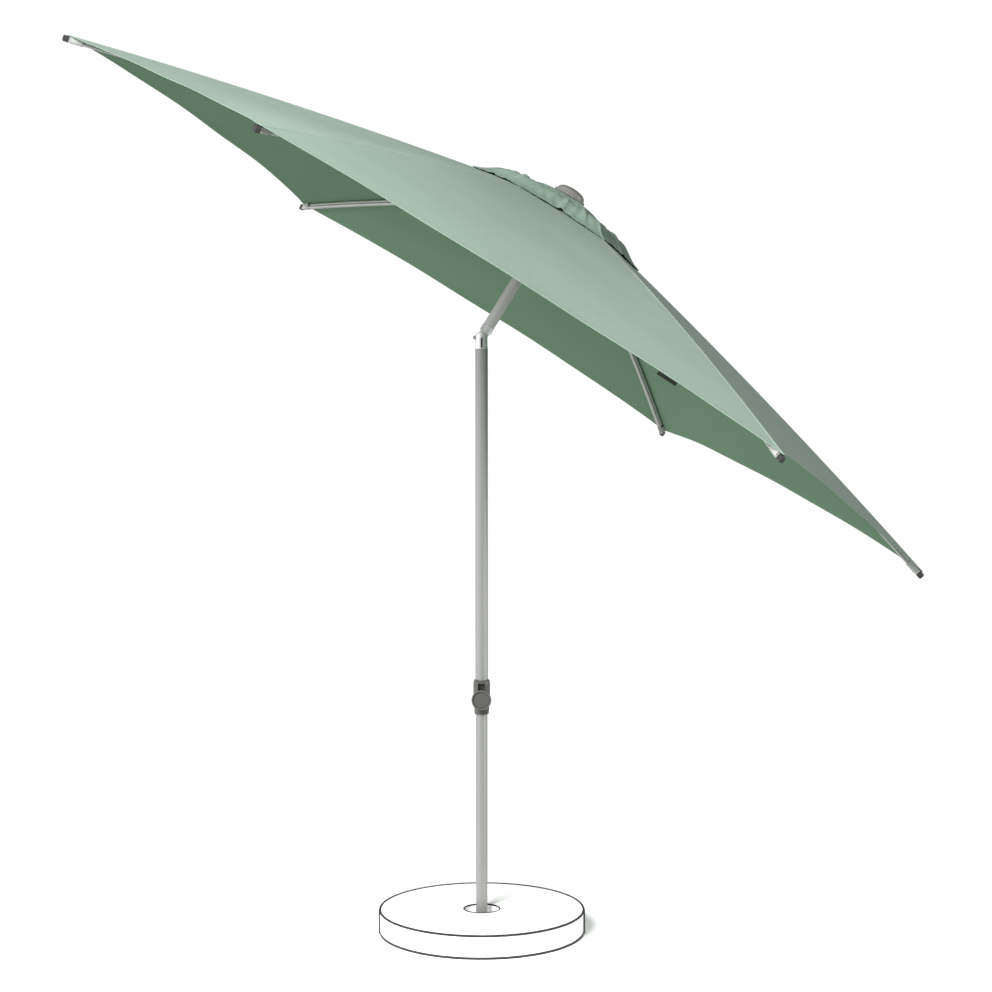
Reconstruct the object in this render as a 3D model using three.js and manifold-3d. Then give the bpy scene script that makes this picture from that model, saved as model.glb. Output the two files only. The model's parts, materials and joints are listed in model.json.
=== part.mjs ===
// Tilting patio umbrella on a round weighted base.
// Millimetres, +Z up. The origin is the centre of the base's underside, on the floor.
// The canopy tilts towards +X, so the tilt hinge runs along Y.
import * as THREE from "three";
import { mergeVertices } from "three/addons/utils/BufferGeometryUtils.js";
import Module from "manifold-3d";

const wasm = await Module();
wasm.setup();

// ---------------------------------------------------------------- driving dimensions

const gap = 0.4; // room left between pieces that touch or run on each other
const tiltAngle = THREE.MathUtils.degToRad(32.11); // the mast's lean at the tilt stop
const hubTwist = THREE.MathUtils.degToRad(-3.56); // how far rib 1 is turned from the tilt plane

// Base
const baseRadius = 306.5;
const baseHeight = 70;
const matHeight = 6;
const wellRadius = 54;
const wellFloor = 24;

// Poles
const lowerPoleRadius = 17.25;
const lowerPoleWall = 1.8;
const lowerPoleTop = 1180;
const upperPoleRadius = 18.75;
const upperPoleWall = 1.1;
const upperPoleLow = 742;
const upperPoleTop = 1755;
const tiltHeight = 1787; // tilt pin above the floor

// Clamp at the foot of the upper pole
const clampHeight = 714; // knob axis above the floor
const clampTop = 768;
const clampLow = 664;
const clampTopRadius = 24.5;
const clampLowRadius = 20.8;
const clampHeading = THREE.MathUtils.degToRad(-96); // direction that the knob faces
const clampBossReach = 33;
const knobRadius = 29.5;
const knobDepth = 22;
const screwRadius = 4;
const padRadius = 7;
const padTravel = 1.25; // one turn of the knob

// Tilt joint
const forkSlot = 14;
const cheekRadius = 18;
const tiltPinRadius = 4;
const knuckleTop = 39; // along the mast, from the tilt pin

// Mast, crown and linkage, measured along the mast from the tilt pin
const mastRadius = 17.25;
const mastWall = 1.5;
const apexHeight = 471.1; // where the ribs' canopy lines would meet
const canopyRadius = 1500; // centre to rib tip
const canopyDrop = 366.6; // apex to rib tip
const canopyBend = 0.1922; // share of the drop that grows with the square of the radius
const linkRadius = 34; // pivot circle on the crown hub and on the runner
const hubPivot = 452.5;
const runnerPivot = 252.5;
const linkLength = 480; // crown pivot to strut pivot, and strut pivot to runner pivot

// Ribs and struts
const ribCount = 6;
const ribWidth = 13;
const ribDepth = 17;
const ribWall = 1.5;
const ribRoom = 2.2; // between a rib's top and the cloth's underside
const ribStart = 62;
const ribEnd = 1482;
const tongueWidth = 5;
const tongueHalf = 6;
const strutWidth = 10;
const strutDepth = 13;

// Cloth
const clothThickness = 1;
const hemRadius = 1490; // main cloth's edge at a rib
const hemScoop = 95; // how far the edge curves in between ribs
const hemCurve = 2.6; // how quickly it does so, going away from a rib
const ventOpening = 190; // main cloth's inner edge at a rib
const ventHem = 290;
const ventScoop = 14;
const clothSag = 9;
const ventBillow = 15;

// ---------------------------------------------------------------- materials

function finish(color, roughness, metalness) {
  return new THREE.MeshStandardMaterial({ color, roughness, metalness });
}

const concrete = finish(0xf2f2f0, 0.75, 0);
const rubber = finish(0x1c1c1c, 0.85, 0);
const aluminium = finish(0xa8a8a5, 0.4, 0.7);
const chrome = finish(0xdcdcdc, 0.15, 1);
const greyPlastic = finish(0x6f7069, 0.55, 0);
const capPlastic = finish(0x8e918d, 0.5, 0);
const blackPlastic = finish(0x262625, 0.6, 0);
const steel = finish(0x8b8d8f, 0.35, 0.9);
const cloth = finish(0x8fa596, 0.9, 0);

// ---------------------------------------------------------------- solid helpers

const weldDistance = 1e-4;

// Welds a closed geometry and gives it outward faces, ready to join and cut.
function solid(geometry) {
  const bare = geometry.index ? geometry.toNonIndexed() : geometry.clone();
  bare.deleteAttribute("normal");
  bare.deleteAttribute("uv");
  const welded = mergeVertices(bare, weldDistance);
  const points = welded.attributes.position.array;
  const corners = welded.index.array;
  const triangles = [];
  let volume = 0;
  const [a, b, c] = [new THREE.Vector3(), new THREE.Vector3(), new THREE.Vector3()];
  for (let i = 0; i < corners.length; i += 3) {
    const [p, q, r] = [corners[i], corners[i + 1], corners[i + 2]];
    if (p === q || q === r || r === p) continue;
    triangles.push(p, q, r);
    a.fromArray(points, 3 * p);
    b.fromArray(points, 3 * q);
    c.fromArray(points, 3 * r);
    volume += a.dot(b.cross(c));
  }
  if (volume < 0) triangles.reverse();
  return new wasm.Manifold(
    new wasm.Mesh({
      numProp: 3,
      vertProperties: Float32Array.from(points),
      triVerts: Uint32Array.from(triangles),
    }),
  );
}

function join(...pieces) {
  return pieces.reduce((whole, piece) => whole.add(piece));
}

function cut(whole, ...tools) {
  return tools.reduce((rest, tool) => rest.subtract(tool), whole);
}

// Turns a profile of [radius, height] points about Z.
function turned(profile, sides = 24) {
  const points = profile.map(([r, z]) => new THREE.Vector2(r, z));
  return solid(new THREE.LatheGeometry(points, sides).rotateX(Math.PI / 2));
}

function rod(radius, low, high, sides = 24) {
  return turned([[0, low], [radius, low], [radius, high], [0, high]], sides);
}

function sleeve(inner, outer, low, high, sides = 24) {
  return turned([[inner, low], [outer, low], [outer, high], [inner, high], [inner, low]], sides);
}

function block(x, y, z) {
  const size = [x[1] - x[0], y[1] - y[0], z[1] - z[0]];
  const middle = [x[0] + x[1], y[0] + y[1], z[0] + z[1]].map((sum) => sum / 2);
  return solid(new THREE.BoxGeometry(...size).translate(...middle));
}

// A rod along Y through the point (x, z).
function crossRod(radius, x, z, halfLength, sides = 12) {
  const shape = new THREE.CylinderGeometry(radius, radius, 2 * halfLength, sides);
  return solid(shape.translate(x, 0, z));
}

// A flat plate in the XZ plane, from its outline, between two Y values.
function plate(outline, yLow, yHigh) {
  const geometry = new THREE.ExtrudeGeometry(outline, {
    depth: yHigh - yLow,
    bevelEnabled: false,
    curveSegments: 5,
  });
  return solid(geometry.rotateX(Math.PI / 2).translate(0, yHigh, 0));
}

function mesh(name, shape, material) {
  const { vertProperties, triVerts } = shape.getMesh();
  const geometry = new THREE.BufferGeometry();
  geometry.setAttribute("position", new THREE.BufferAttribute(Float32Array.from(vertProperties), 3));
  geometry.setIndex(new THREE.BufferAttribute(Uint32Array.from(triVerts), 1));
  geometry.computeVertexNormals();
  const piece = new THREE.Mesh(geometry, material);
  piece.name = name;
  return piece;
}

function group(...pieces) {
  const holder = new THREE.Group();
  holder.add(...pieces);
  return holder;
}

// ---------------------------------------------------------------- base

const spigotRadius = lowerPoleRadius - lowerPoleWall - gap;
const spigotTop = 330;
const flangeRadius = 46;
const flangeHeight = 8;
const boltCircle = 36;
const boltCount = 3;
const poleFoot = wellFloor + flangeHeight + gap;

const discSides = 48;
const trimWidth = 3;
const trimHeight = 4;
const trimProud = 0.5; // how far both trims stand out of the disc

function buildBase() {
  const discLow = matHeight + gap;
  const disc = cut(
    turned([
      [0, discLow],
      [baseRadius, discLow],
      [baseRadius, baseHeight - trimHeight],
      [baseRadius - trimWidth, baseHeight - trimHeight],
      [baseRadius - trimWidth, baseHeight],
      [wellRadius + trimWidth, baseHeight],
      [wellRadius + trimWidth, baseHeight - trimHeight],
      [wellRadius, baseHeight - trimHeight],
      [wellRadius, wellFloor],
      [0, wellFloor],
    ], discSides),
    ...boltPlaces().map(([x, y]) => boltHole(x, y)),
  );
  const trimLow = baseHeight - trimHeight + gap;
  const trimTop = baseHeight + trimProud;
  const mat = rod(baseRadius - 1, 0, matHeight, discSides);
  const bead = sleeve(baseRadius - trimWidth + gap, baseRadius + trimProud, trimLow, trimTop, discSides);
  const grommet = sleeve(wellRadius - trimProud, wellRadius + trimWidth - gap, trimLow, trimTop, 32);
  const flangeLow = wellFloor + gap;
  const spigot = cut(
    join(
      rod(flangeRadius, flangeLow, wellFloor + flangeHeight),
      sleeve(spigotRadius - 3, spigotRadius, flangeLow, spigotTop),
    ),
    rod(spigotRadius - 3, flangeLow - 1, spigotTop + 1),
    ...boltPlaces().map(([x, y]) => boltHole(x, y)),
  );
  const bolts = boltPlaces().map(([x, y], i) => mesh(`spigot_bolt_${i + 1}`, flangeBolt(x, y), steel));
  return group(
    mesh("ballast_disc", disc, concrete),
    mesh("foot_mat", mat, rubber),
    mesh("edge_bead", bead, rubber),
    mesh("well_grommet", grommet, rubber),
    mesh("base_spigot", spigot, steel),
    ...bolts,
  );
}

const boltShank = 4;
const boltDepth = 12;

function boltPlaces() {
  const places = [];
  for (let i = 0; i < boltCount; i += 1) {
    const angle = (2 * Math.PI * (i + 0.25)) / boltCount;
    places.push([boltCircle * Math.cos(angle), boltCircle * Math.sin(angle)]);
  }
  return places;
}

function boltHole(x, y) {
  const hole = rod(boltShank + gap, wellFloor - boltDepth - gap, wellFloor + flangeHeight + 1, 8);
  return hole.translate([x, y, 0]);
}

function flangeBolt(x, y) {
  const seat = wellFloor + flangeHeight + gap;
  const headHeight = 5.5;
  const socketDepth = 3;
  const bolt = cut(
    join(rod(boltShank, wellFloor - boltDepth, seat + 1, 8), rod(6.5, seat, seat + headHeight, 12)),
    rod(3.4, seat + headHeight - socketDepth, seat + headHeight + 1, 6),
  );
  return bolt.translate([x, y, 0]);
}

// ---------------------------------------------------------------- lower pole

function buildLowerPole() {
  const innerRadius = lowerPoleRadius - lowerPoleWall;
  const pole = sleeve(innerRadius, lowerPoleRadius, poleFoot, lowerPoleTop);
  const collar = sleeve(lowerPoleRadius + gap, 24, poleFoot, poleFoot + 14);
  const bushRadius = upperPoleRadius - upperPoleWall - 0.15;
  const bush = join(
    sleeve(11, innerRadius - 0.3, lowerPoleTop - 30, lowerPoleTop + 1),
    sleeve(11, bushRadius, lowerPoleTop + gap, lowerPoleTop + 12),
  );
  return group(
    mesh("lower_pole", pole, aluminium),
    mesh("pole_foot_collar", collar, blackPlastic),
    mesh("guide_bush", bush, blackPlastic),
  );
}

// ---------------------------------------------------------------- upper pole

const spigotLength = 60;
const forkCollar = 6;

function buildUpperPole() {
  const innerRadius = upperPoleRadius - upperPoleWall;
  const pole = sleeve(innerRadius, upperPoleRadius, upperPoleLow, upperPoleTop);
  return group(
    mesh("upper_pole", pole, aluminium),
    mesh("clamp_housing", clampHousing(), greyPlastic),
    mesh("tilt_fork", tiltFork(innerRadius), chrome),
    mesh("tilt_pin", tiltPin(), steel),
    buildTiltButton(),
    buildClamp(),
  );
}

// Along local X, from the pole's axis outwards, at the height of the knob.
function towardsKnob(shape) {
  return shape.rotate([0, 90, 0]).translate([0, 0, clampHeight]);
}

const knobBack = clampBossReach + 2.5;
const padOuter = lowerPoleRadius + gap + 5;

function clampHousing() {
  const round = 6;
  const shell = turned([
    [0, clampLow],
    [clampLowRadius - round / 2, clampLow],
    [clampLowRadius, clampLow + round],
    [clampTopRadius, clampHeight],
    [clampTopRadius, clampTop - round],
    [clampTopRadius - 2, clampTop - 2],
    [clampTopRadius - round / 2 - 1, clampTop],
    [0, clampTop],
  ], 24);
  const boss = towardsKnob(rod(15, 8, clampBossReach));
  const bridge = block([12, clampBossReach - 3], [-13, 13], [clampHeight, clampTop - 5]);
  const slotMouth = block([20, 40], [-8, 8], [clampHeight + 22, clampTop - 9]);
  return cut(
    join(shell, boss, bridge),
    rod(lowerPoleRadius + gap, clampLow - 1, upperPoleLow),
    rod(upperPoleRadius + gap, upperPoleLow - gap, clampTop + 1),
    towardsKnob(rod(padRadius + gap, 0, padOuter + 3, 16)),
    towardsKnob(rod(screwRadius + gap, 0, clampBossReach + 1, 16)),
    slotMouth,
  ).rotate([0, 0, THREE.MathUtils.radToDeg(clampHeading)]);
}

function tiltFork(poleBore) {
  const spigotRadiusIn = poleBore - gap;
  const stem = sleeve(spigotRadiusIn - 2.5, spigotRadiusIn, upperPoleTop - spigotLength, upperPoleTop + 1);
  const collar = rod(upperPoleRadius, upperPoleTop + gap, upperPoleTop + forkCollar);
  const body = rod(upperPoleRadius, upperPoleTop + forkCollar - 1, tiltHeight);
  const dome = crossRod(cheekRadius, 0, tiltHeight, upperPoleRadius, 24);
  const head = join(body, dome.intersect(rod(upperPoleRadius, tiltHeight - 1, tiltHeight + 30)));
  const slot = block([-30, 30], [-forkSlot / 2, forkSlot / 2], [upperPoleTop + forkCollar, tiltHeight + 30]);
  const groove = block([-2.2, 2.2], [-upperPoleRadius - 1, -upperPoleRadius + 3.5], [
    upperPoleTop + 3,
    tiltHeight - tiltPinRadius - 5,
  ]);
  return cut(
    join(stem, collar, head),
    slot,
    groove,
    crossRod(tiltPinRadius + gap, 0, tiltHeight, 30),
    tiltButtonPocket(),
  );
}

function tiltPin() {
  const halfLength = upperPoleRadius - 1;
  const shank = crossRod(tiltPinRadius, 0, tiltHeight, halfLength);
  return shank;
}

// The release button stands out of the fork on the side away from the tilt.
const buttonHeight = tiltHeight + 2;
const buttonOut = 24;

function tiltButtonPocket() {
  const pocket = block([-40, -upperPoleRadius / 2], [-5 - gap, 5 + gap], [buttonHeight - 9, buttonHeight + 9]);
  return pocket;
}

function buildTiltButton() {
  const reach = 17.2;
  const button = join(
    block([-buttonOut + 3, -reach], [-5, 5], [buttonHeight - 7, buttonHeight + 5]),
    rod(5, 0, 6, 20).rotate([0, -90, 0]).translate([-buttonOut + 5.5, 0, buttonHeight - 1]),
  );
  return mesh("tilt_button", button, greyPlastic);
}

function buildClamp() {
  const pad = cut(
    towardsKnob(rod(padRadius, lowerPoleRadius + gap + padTravel, padOuter + 1, 16)),
    towardsKnob(rod(screwRadius + gap, padOuter - 2, padOuter + 3, 16)),
  );
  const screwTip = padOuter - 2 + gap;
  const screwEnd = knobBack + knobDepth - 6;
  const screw = towardsKnob(rod(screwRadius, screwTip, screwEnd, 16));
  const knobFace = knobBack + knobDepth;
  const rim = 3;
  const knobShape = turned([
    [0, knobBack],
    [13, knobBack],
    [15, knobBack + 5],
    [knobRadius - 1.5, knobBack + 6],
    [knobRadius, knobBack + 9],
    [knobRadius, knobFace - 2.5],
    [knobRadius - 1.5, knobFace],
    [knobRadius - rim - 1, knobFace],
    [knobRadius - rim - 2, knobFace - 2],
    [0, knobFace - 2],
  ], 32);
  const flutes = [];
  const fluteCount = 12;
  for (let i = 0; i < fluteCount; i += 1) {
    const flute = rod(3, knobBack + 5, knobFace - 3, 6).translate([knobRadius + 1.6, 0, 0]);
    flutes.push(flute.rotate([0, 0, (360 * i) / fluteCount]));
  }
  const bore = rod(screwRadius + gap, knobBack - 1, screwEnd + gap, 16);
  const knob = towardsKnob(cut(knobShape, bore, ...flutes));
  const clamp = group(
    mesh("clamp_pad", pad, blackPlastic),
    mesh("clamp_screw", screw, steel),
    mesh("clamp_knob", knob, greyPlastic),
  );
  clamp.rotation.z = clampHeading;
  return clamp;
}

// ---------------------------------------------------------------- canopy group, along the mast

function buildKnuckle() {
  const tongue = crossRod(forkSlot + 2, 0, 0, forkSlot / 2 - gap, 24);
  const neck = block([-14, 14], [-forkSlot / 2 + gap, forkSlot / 2 - gap], [0, 24]);
  const shoulderLow = cheekRadius + 2;
  const shoulder = rod(mastRadius + 1.2, shoulderLow, knuckleTop);
  const plugRadius = mastRadius - mastWall - gap;
  const plug = sleeve(plugRadius - 3, plugRadius, knuckleTop - 1, knuckleTop + 45);
  const lockSlot = block([4, 7.5], [-30, -mastRadius + 3], [shoulderLow + 3, knuckleTop - 4]);
  const knuckle = cut(
    join(tongue, neck, shoulder, plug),
    crossRod(tiltPinRadius + gap, 0, 0, 30),
    lockSlot,
    block([-40, -8.5], [-20, 20], [-40, 12]),
  );
  return mesh("tilt_knuckle", knuckle, chrome);
}

// A flanged ring on the mast with a slot and a cross pin for each rib or strut.
function linkRing({ bore, barrelRadius, barrel, flangeRadius: outer, flange, pivot, pinRadius }) {
  const slots = [];
  const pins = [];
  for (let i = 0; i < ribCount; i += 1) {
    const angle = THREE.MathUtils.radToDeg(ribAngle(i));
    const half = tongueWidth / 2 + gap;
    const slot = block([linkRadius - tongueHalf - 1.5, outer + 5], [-half, half], [flange[0] - 1, flange[1] + 1]);
    slots.push(slot.rotate([0, 0, angle]));
    pins.push(crossRod(pinRadius, linkRadius, pivot, half + 3, 8).rotate([0, 0, angle]));
  }
  const whole = join(rod(barrelRadius, ...barrel), rod(outer, ...flange, 36));
  const slotted = cut(whole, ...slots);
  return cut(join(slotted, ...pins), rod(bore, barrel[0] - 1, barrel[1] + 1));
}

function ribAngle(i) {
  return hubTwist + (i * 2 * Math.PI) / ribCount;
}

const linkFlangeRadius = 43;
const pinLoose = 1.5; // radial room round the runner's pins
const runnerPinRadius = 1.5;
const hubPinRadius = 2.5;
const hubHalf = 8;
const plateTop = 484.6;
const crownPlateRadius = 40;
const ventSteps = 6;
const studRadius = 5;

function buildMast() {
  const tubeTop = hubPivot - hubHalf - gap;
  const tube = sleeve(mastRadius - mastWall, mastRadius, knuckleTop + gap, tubeTop);
  const hubBody = linkRing({
    bore: studRadius + gap,
    barrelRadius: 26,
    barrel: [tubeTop + gap, hubPivot + hubHalf],
    flangeRadius: linkFlangeRadius,
    flange: [tubeTop + gap, hubPivot + hubHalf],
    pivot: hubPivot,
    pinRadius: hubPinRadius,
  });
  const plugRadius = mastRadius - mastWall - gap;
  const plugLength = 32;
  const plug = sleeve(studRadius + gap, plugRadius, tubeTop - plugLength, tubeTop + gap + 1);
  const crown = join(hubBody, plug);
  const plateLow = hubPivot + hubHalf + gap;
  const crownPlate = sleeve(studRadius + gap, crownPlateRadius, plateLow, plateTop);
  return group(
    mesh("mast_tube", tube, aluminium),
    mesh("crown_hub", crown, blackPlastic),
    mesh("crown_plate", crownPlate, blackPlastic),
    finialCap(),
    mesh("finial_stud", rod(studRadius, tubeTop - 20, plateTop + 24, 16), steel),
  );
}

function finialCap() {
  const low = plateTop + clothThickness + 1;
  const skirtTop = low + 7;
  const stepRadius = 45.5;
  const domeTop = apexHeight + 44.5;
  const domeLow = skirtTop + 3;
  const profile = [[0, low], [48.5, low], [50, low + 2], [50, skirtTop - 1], [49, skirtTop], [stepRadius, skirtTop]];
  const domeSteps = 5;
  for (let i = 0; i <= domeSteps; i += 1) {
    const turn = (i / domeSteps) * (Math.PI / 2);
    profile.push([stepRadius * Math.cos(turn), domeLow + (domeTop - domeLow) * Math.sin(turn)]);
  }
  profile[profile.length - 1][0] = 0;
  const cap = cut(turned(profile, 32), rod(studRadius + gap, low - 1, plateTop + 24 + gap, 16));
  return mesh("finial_cap", cap, capPlastic);
}

function buildRunner() {
  const bore = mastRadius + gap;
  const low = 200;
  const flangeHalf = 8;
  const body = linkRing({
    bore,
    barrelRadius: 25,
    barrel: [low, runnerPivot + flangeHalf],
    flangeRadius: linkFlangeRadius,
    flange: [runnerPivot - flangeHalf, runnerPivot + flangeHalf],
    pivot: runnerPivot,
    pinRadius: runnerPinRadius,
  });
  const latchWindow = block([-60, -bore + 2], [-6 - gap, 6 + gap], [low + 12, low + 36]);
  const capLow = runnerPivot + flangeHalf + gap;
  const ringCap = sleeve(bore, 27, capLow, capLow + 9);
  const button = join(
    block([-27, -bore - 3.4], [-6, 6], [low + 12 + gap, low + 36 - gap]),
    block([-31, -26], [-4.5, 4.5], [low + 16, low + 32]),
  );
  return group(
    mesh("runner", cut(body, latchWindow), blackPlastic),
    mesh("runner_cap", ringCap, blackPlastic),
    mesh("runner_button", button, greyPlastic),
  );
}

// ---------------------------------------------------------------- ribs

// Height of the cloth's top face over a rib.
function canopyHeight(radius) {
  const u = radius / canopyRadius;
  return apexHeight - canopyDrop * ((1 - canopyBend) * u + canopyBend * u * u);
}

// Centre line of a rib, half a rib's depth below the cloth.
function ribCentre(radius) {
  const step = 1;
  const slope = (canopyHeight(radius + step) - canopyHeight(radius - step)) / (2 * step);
  const below = ribDepth / 2 + clothThickness + ribRoom;
  const across = Math.hypot(1, slope);
  return new THREE.Vector3(radius + (below * slope) / across, 0, canopyHeight(radius) - below / across);
}

// Sweeps a section of [across, up] points along a line in the XZ plane.
function sweep(section, line) {
  const positions = [];
  const indices = [];
  const sides = section.length;
  line.forEach((point, i) => {
    const before = line[Math.max(i - 1, 0)];
    const after = line[Math.min(i + 1, line.length - 1)];
    const ahead = after.clone().sub(before).normalize();
    for (const [y, up] of section) {
      positions.push(point.x - ahead.z * up, y, point.z + ahead.x * up);
    }
  });
  const ends = THREE.ShapeUtils.triangulateShape(section.map(([y, up]) => new THREE.Vector2(y, up)), []);
  const last = sides * (line.length - 1);
  for (const [a, b, c] of ends) {
    indices.push(a, b, c, last + c, last + b, last + a);
  }
  for (let i = 0; i + 1 < line.length; i += 1) {
    for (let j = 0; j < sides; j += 1) {
      const [a, b] = [i * sides + j, i * sides + ((j + 1) % sides)];
      indices.push(a, a + sides, b, b, a + sides, b + sides);
    }
  }
  const geometry = new THREE.BufferGeometry();
  geometry.setAttribute("position", new THREE.Float32BufferAttribute(positions, 3));
  geometry.setIndex(indices);
  return solid(geometry);
}

function chamferedSection(width, depth, chamfer) {
  const [w, d] = [width / 2, depth / 2];
  return [
    [-w + chamfer, -d], [w - chamfer, -d], [w, -d + chamfer], [w, d - chamfer],
    [w - chamfer, d], [-w + chamfer, d], [-w, d - chamfer], [-w, -d + chamfer],
  ];
}

function boxSection(width, depth) {
  const [w, d] = [width / 2, depth / 2];
  return [[-w, -d], [w, -d], [w, d], [-w, d]];
}

const ribSteps = 7;

function ribLine(from, to, steps) {
  const line = [];
  for (let i = 0; i <= steps; i += 1) {
    line.push(ribCentre(from + ((to - from) * i) / steps));
  }
  return line;
}

// Where the strut pin crosses the rib: one link length from the crown pivot.
const linkAngle = Math.acos((hubPivot - runnerPivot) / (2 * linkLength));
const strutJoint = new THREE.Vector3(
  linkRadius + linkLength * Math.sin(linkAngle),
  0,
  (hubPivot + runnerPivot) / 2,
);

// A flat tongue with a round end at a pivot, running towards another point.
function tongue(pivot, towards, length, holeRadius) {
  const along = towards.clone().sub(pivot).setY(0).normalize();
  const turn = Math.atan2(along.z, along.x);
  const half = tongueWidth / 2;
  const bar = join(block([0, length], [-half, half], [-tongueHalf, tongueHalf]), crossRod(tongueHalf, 0, 0, half, 16));
  const drilled = cut(bar, crossRod(holeRadius, 0, 0, half + 1));
  return drilled.rotate([0, -THREE.MathUtils.radToDeg(turn), 0]).translate([pivot.x, 0, pivot.z]);
}

const crownPivot = new THREE.Vector3(linkRadius, 0, hubPivot);
const footPivot = new THREE.Vector3(linkRadius, 0, runnerPivot);
const strutPinRadius = 3;

function ribShape() {
  const outer = sweep(chamferedSection(ribWidth, ribDepth, 2), ribLine(ribStart, ribEnd, ribSteps));
  const inner = sweep(
    boxSection(ribWidth - 2 * ribWall, ribDepth - 2 * ribWall),
    ribLine(ribStart + 4, ribEnd + 4, ribSteps),
  );
  const pinHole = crossRod(strutPinRadius + gap, strutJoint.x, strutJoint.z, ribWidth);
  const hollow = cut(outer, inner, pinHole);
  return join(hollow, tongue(crownPivot, ribCentre(ribStart + 10), ribStart + 12 - linkRadius, hubPinRadius + gap));
}

function ribTip() {
  const start = ribCentre(ribEnd);
  const plugLine = ribLine(ribEnd - 22, ribEnd + 1, 1);
  const capLine = ribLine(ribEnd + gap, canopyRadius, 1);
  const cap = sweep(chamferedSection(ribWidth + 1.5, ribDepth + 1.2, 3), capLine);
  const inside = boxSection(ribWidth - 2 * ribWall - 2 * gap, ribDepth - 2 * ribWall - 2 * gap);
  const keyHole = crossRod(2, start.x + 10, start.z - 2, ribWidth, 10);
  return cut(join(cap, sweep(inside, plugLine)), keyHole);
}

function strutShape() {
  const along = footPivot.clone().sub(strutJoint).normalize();
  const point = (distance) => strutJoint.clone().addScaledVector(along, distance);
  const cheekInner = ribWidth / 2 + 0.6;
  const cheekOuter = cheekInner + 2.4;
  const forkLength = 58;
  const bridgeStart = 44;
  const cheekShape = new THREE.Shape();
  cheekShape.absarc(0, 0, 8, Math.PI / 2, (3 * Math.PI) / 2, false);
  cheekShape.lineTo(forkLength, -5.5);
  cheekShape.lineTo(forkLength, 5.5);
  cheekShape.closePath();
  const turn = THREE.MathUtils.radToDeg(Math.atan2(along.z, along.x));
  const place = (shape) => shape.rotate([0, -turn, 0]).translate([strutJoint.x, 0, strutJoint.z]);
  const bridge = block([bridgeStart, forkLength], [-cheekOuter, cheekOuter], [-5.5, 5.5]);
  const pin = crossRod(strutPinRadius, 0, 0, cheekInner + 1);
  const fork = place(join(
    plate(cheekShape, cheekInner, cheekOuter),
    plate(cheekShape, -cheekOuter, -cheekInner),
    bridge,
    pin,
  ));
  const tubeEnd = linkLength - 26;
  const tube = sweep(chamferedSection(strutWidth, strutDepth, 1.5), [point(bridgeStart + 3), point(tubeEnd)]);
  return join(fork, tube, tongue(footPivot, strutJoint, 40, runnerPinRadius + pinLoose));
}

function buildRibs() {
  const rib = ribShape();
  const tip = ribTip();
  const strut = strutShape();
  const pieces = [];
  for (let i = 0; i < ribCount; i += 1) {
    const set = group(
      mesh(`rib_${i + 1}`, rib, aluminium),
      mesh(`rib_tip_${i + 1}`, tip, blackPlastic),
      mesh(`strut_${i + 1}`, strut, aluminium),
    );
    set.rotation.z = ribAngle(i);
    pieces.push(set);
  }
  return group(...pieces);
}

// ---------------------------------------------------------------- cloth

// Goes from 0 over a rib to 1 midway between ribs, where it levels out.
function between(w) {
  return 1 - (1 - w) * (1 - w);
}

// A point on the straight line across a gore, from the rib (w = 0) to midway (w = 1).
function acrossGore(radius, w) {
  const side = Math.sign(w);
  const share = Math.abs(w);
  const half = Math.PI / ribCount;
  const middle = radius * Math.cos(half);
  const x = radius + share * (middle * Math.cos(half) - radius);
  return [x, side * share * middle * Math.sin(half)];
}

function smoothStep(low, high, value) {
  return THREE.MathUtils.smoothstep(value, low, high);
}

function mainCloth(t, w) {
  const share = between(Math.abs(w));
  const hem = hemRadius - hemScoop * (1 - (1 - Math.abs(w)) ** hemCurve);
  const radius = ventOpening + (hem - ventOpening) * t;
  const [x, y] = acrossGore(radius, w);
  return [x, y, canopyHeight(radius) - clothSag * share * smoothStep(ventOpening, 700, radius)];
}

// The vent cloth lies flat on the crown plate, then falls away to the hem.
function ventCloth(t, w) {
  const share = between(Math.abs(w));
  const centre = studRadius + 2;
  const flat = crownPlateRadius + 6;
  const flatShare = 1 / ventSteps;
  const hem = ventHem - ventScoop * share;
  const outwards = (t - flatShare) / (1 - flatShare);
  const radius = t < flatShare
    ? centre + ((flat - centre) * t) / flatShare
    : flat + (hem - flat) * outwards;
  const [x, y] = acrossGore(radius, w);
  const onRib = canopyHeight(radius) + clothThickness + 1.2;
  const crownTop = plateTop + gap + clothThickness;
  const settled = smoothStep(flat, 130, radius);
  const billow = ventBillow * share * smoothStep(flat, ventHem, radius);
  return [x, y, crownTop + (onRib - crownTop) * settled + billow];
}

// A thin closed sheet under a surface, one gore wide, centred on its rib.
function gore(surface, along, across) {
  const positions = [];
  const indices = [];
  const edge = 0.999; // neighbouring gores stop just short of each other
  const row = across + 1;
  for (const drop of [0, clothThickness]) {
    for (let i = 0; i <= along; i += 1) {
      for (let j = 0; j <= across; j += 1) {
        const [x, y, z] = surface(i / along, edge * ((2 * j) / across - 1));
        positions.push(x, y, z - drop);
      }
    }
  }
  const under = row * (along + 1);
  const quad = (a, b, c, d) => indices.push(a, b, c, a, c, d);
  for (let i = 0; i < along; i += 1) {
    for (let j = 0; j < across; j += 1) {
      const a = i * row + j;
      quad(a, a + row, a + row + 1, a + 1);
      quad(under + a, under + a + 1, under + a + row + 1, under + a + row);
    }
    for (const [j, flip] of [[0, false], [across, true]]) {
      const a = i * row + j;
      const side = [a, under + a, under + a + row, a + row];
      quad(...(flip ? side.reverse() : side));
    }
  }
  for (let j = 0; j < across; j += 1) {
    const outer = along * row + j;
    quad(j, j + 1, under + j + 1, under + j);
    quad(outer, under + outer, under + outer + 1, outer + 1);
  }
  const geometry = new THREE.BufferGeometry();
  geometry.setAttribute("position", new THREE.Float32BufferAttribute(positions, 3));
  geometry.setIndex(indices);
  return solid(geometry);
}

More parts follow.
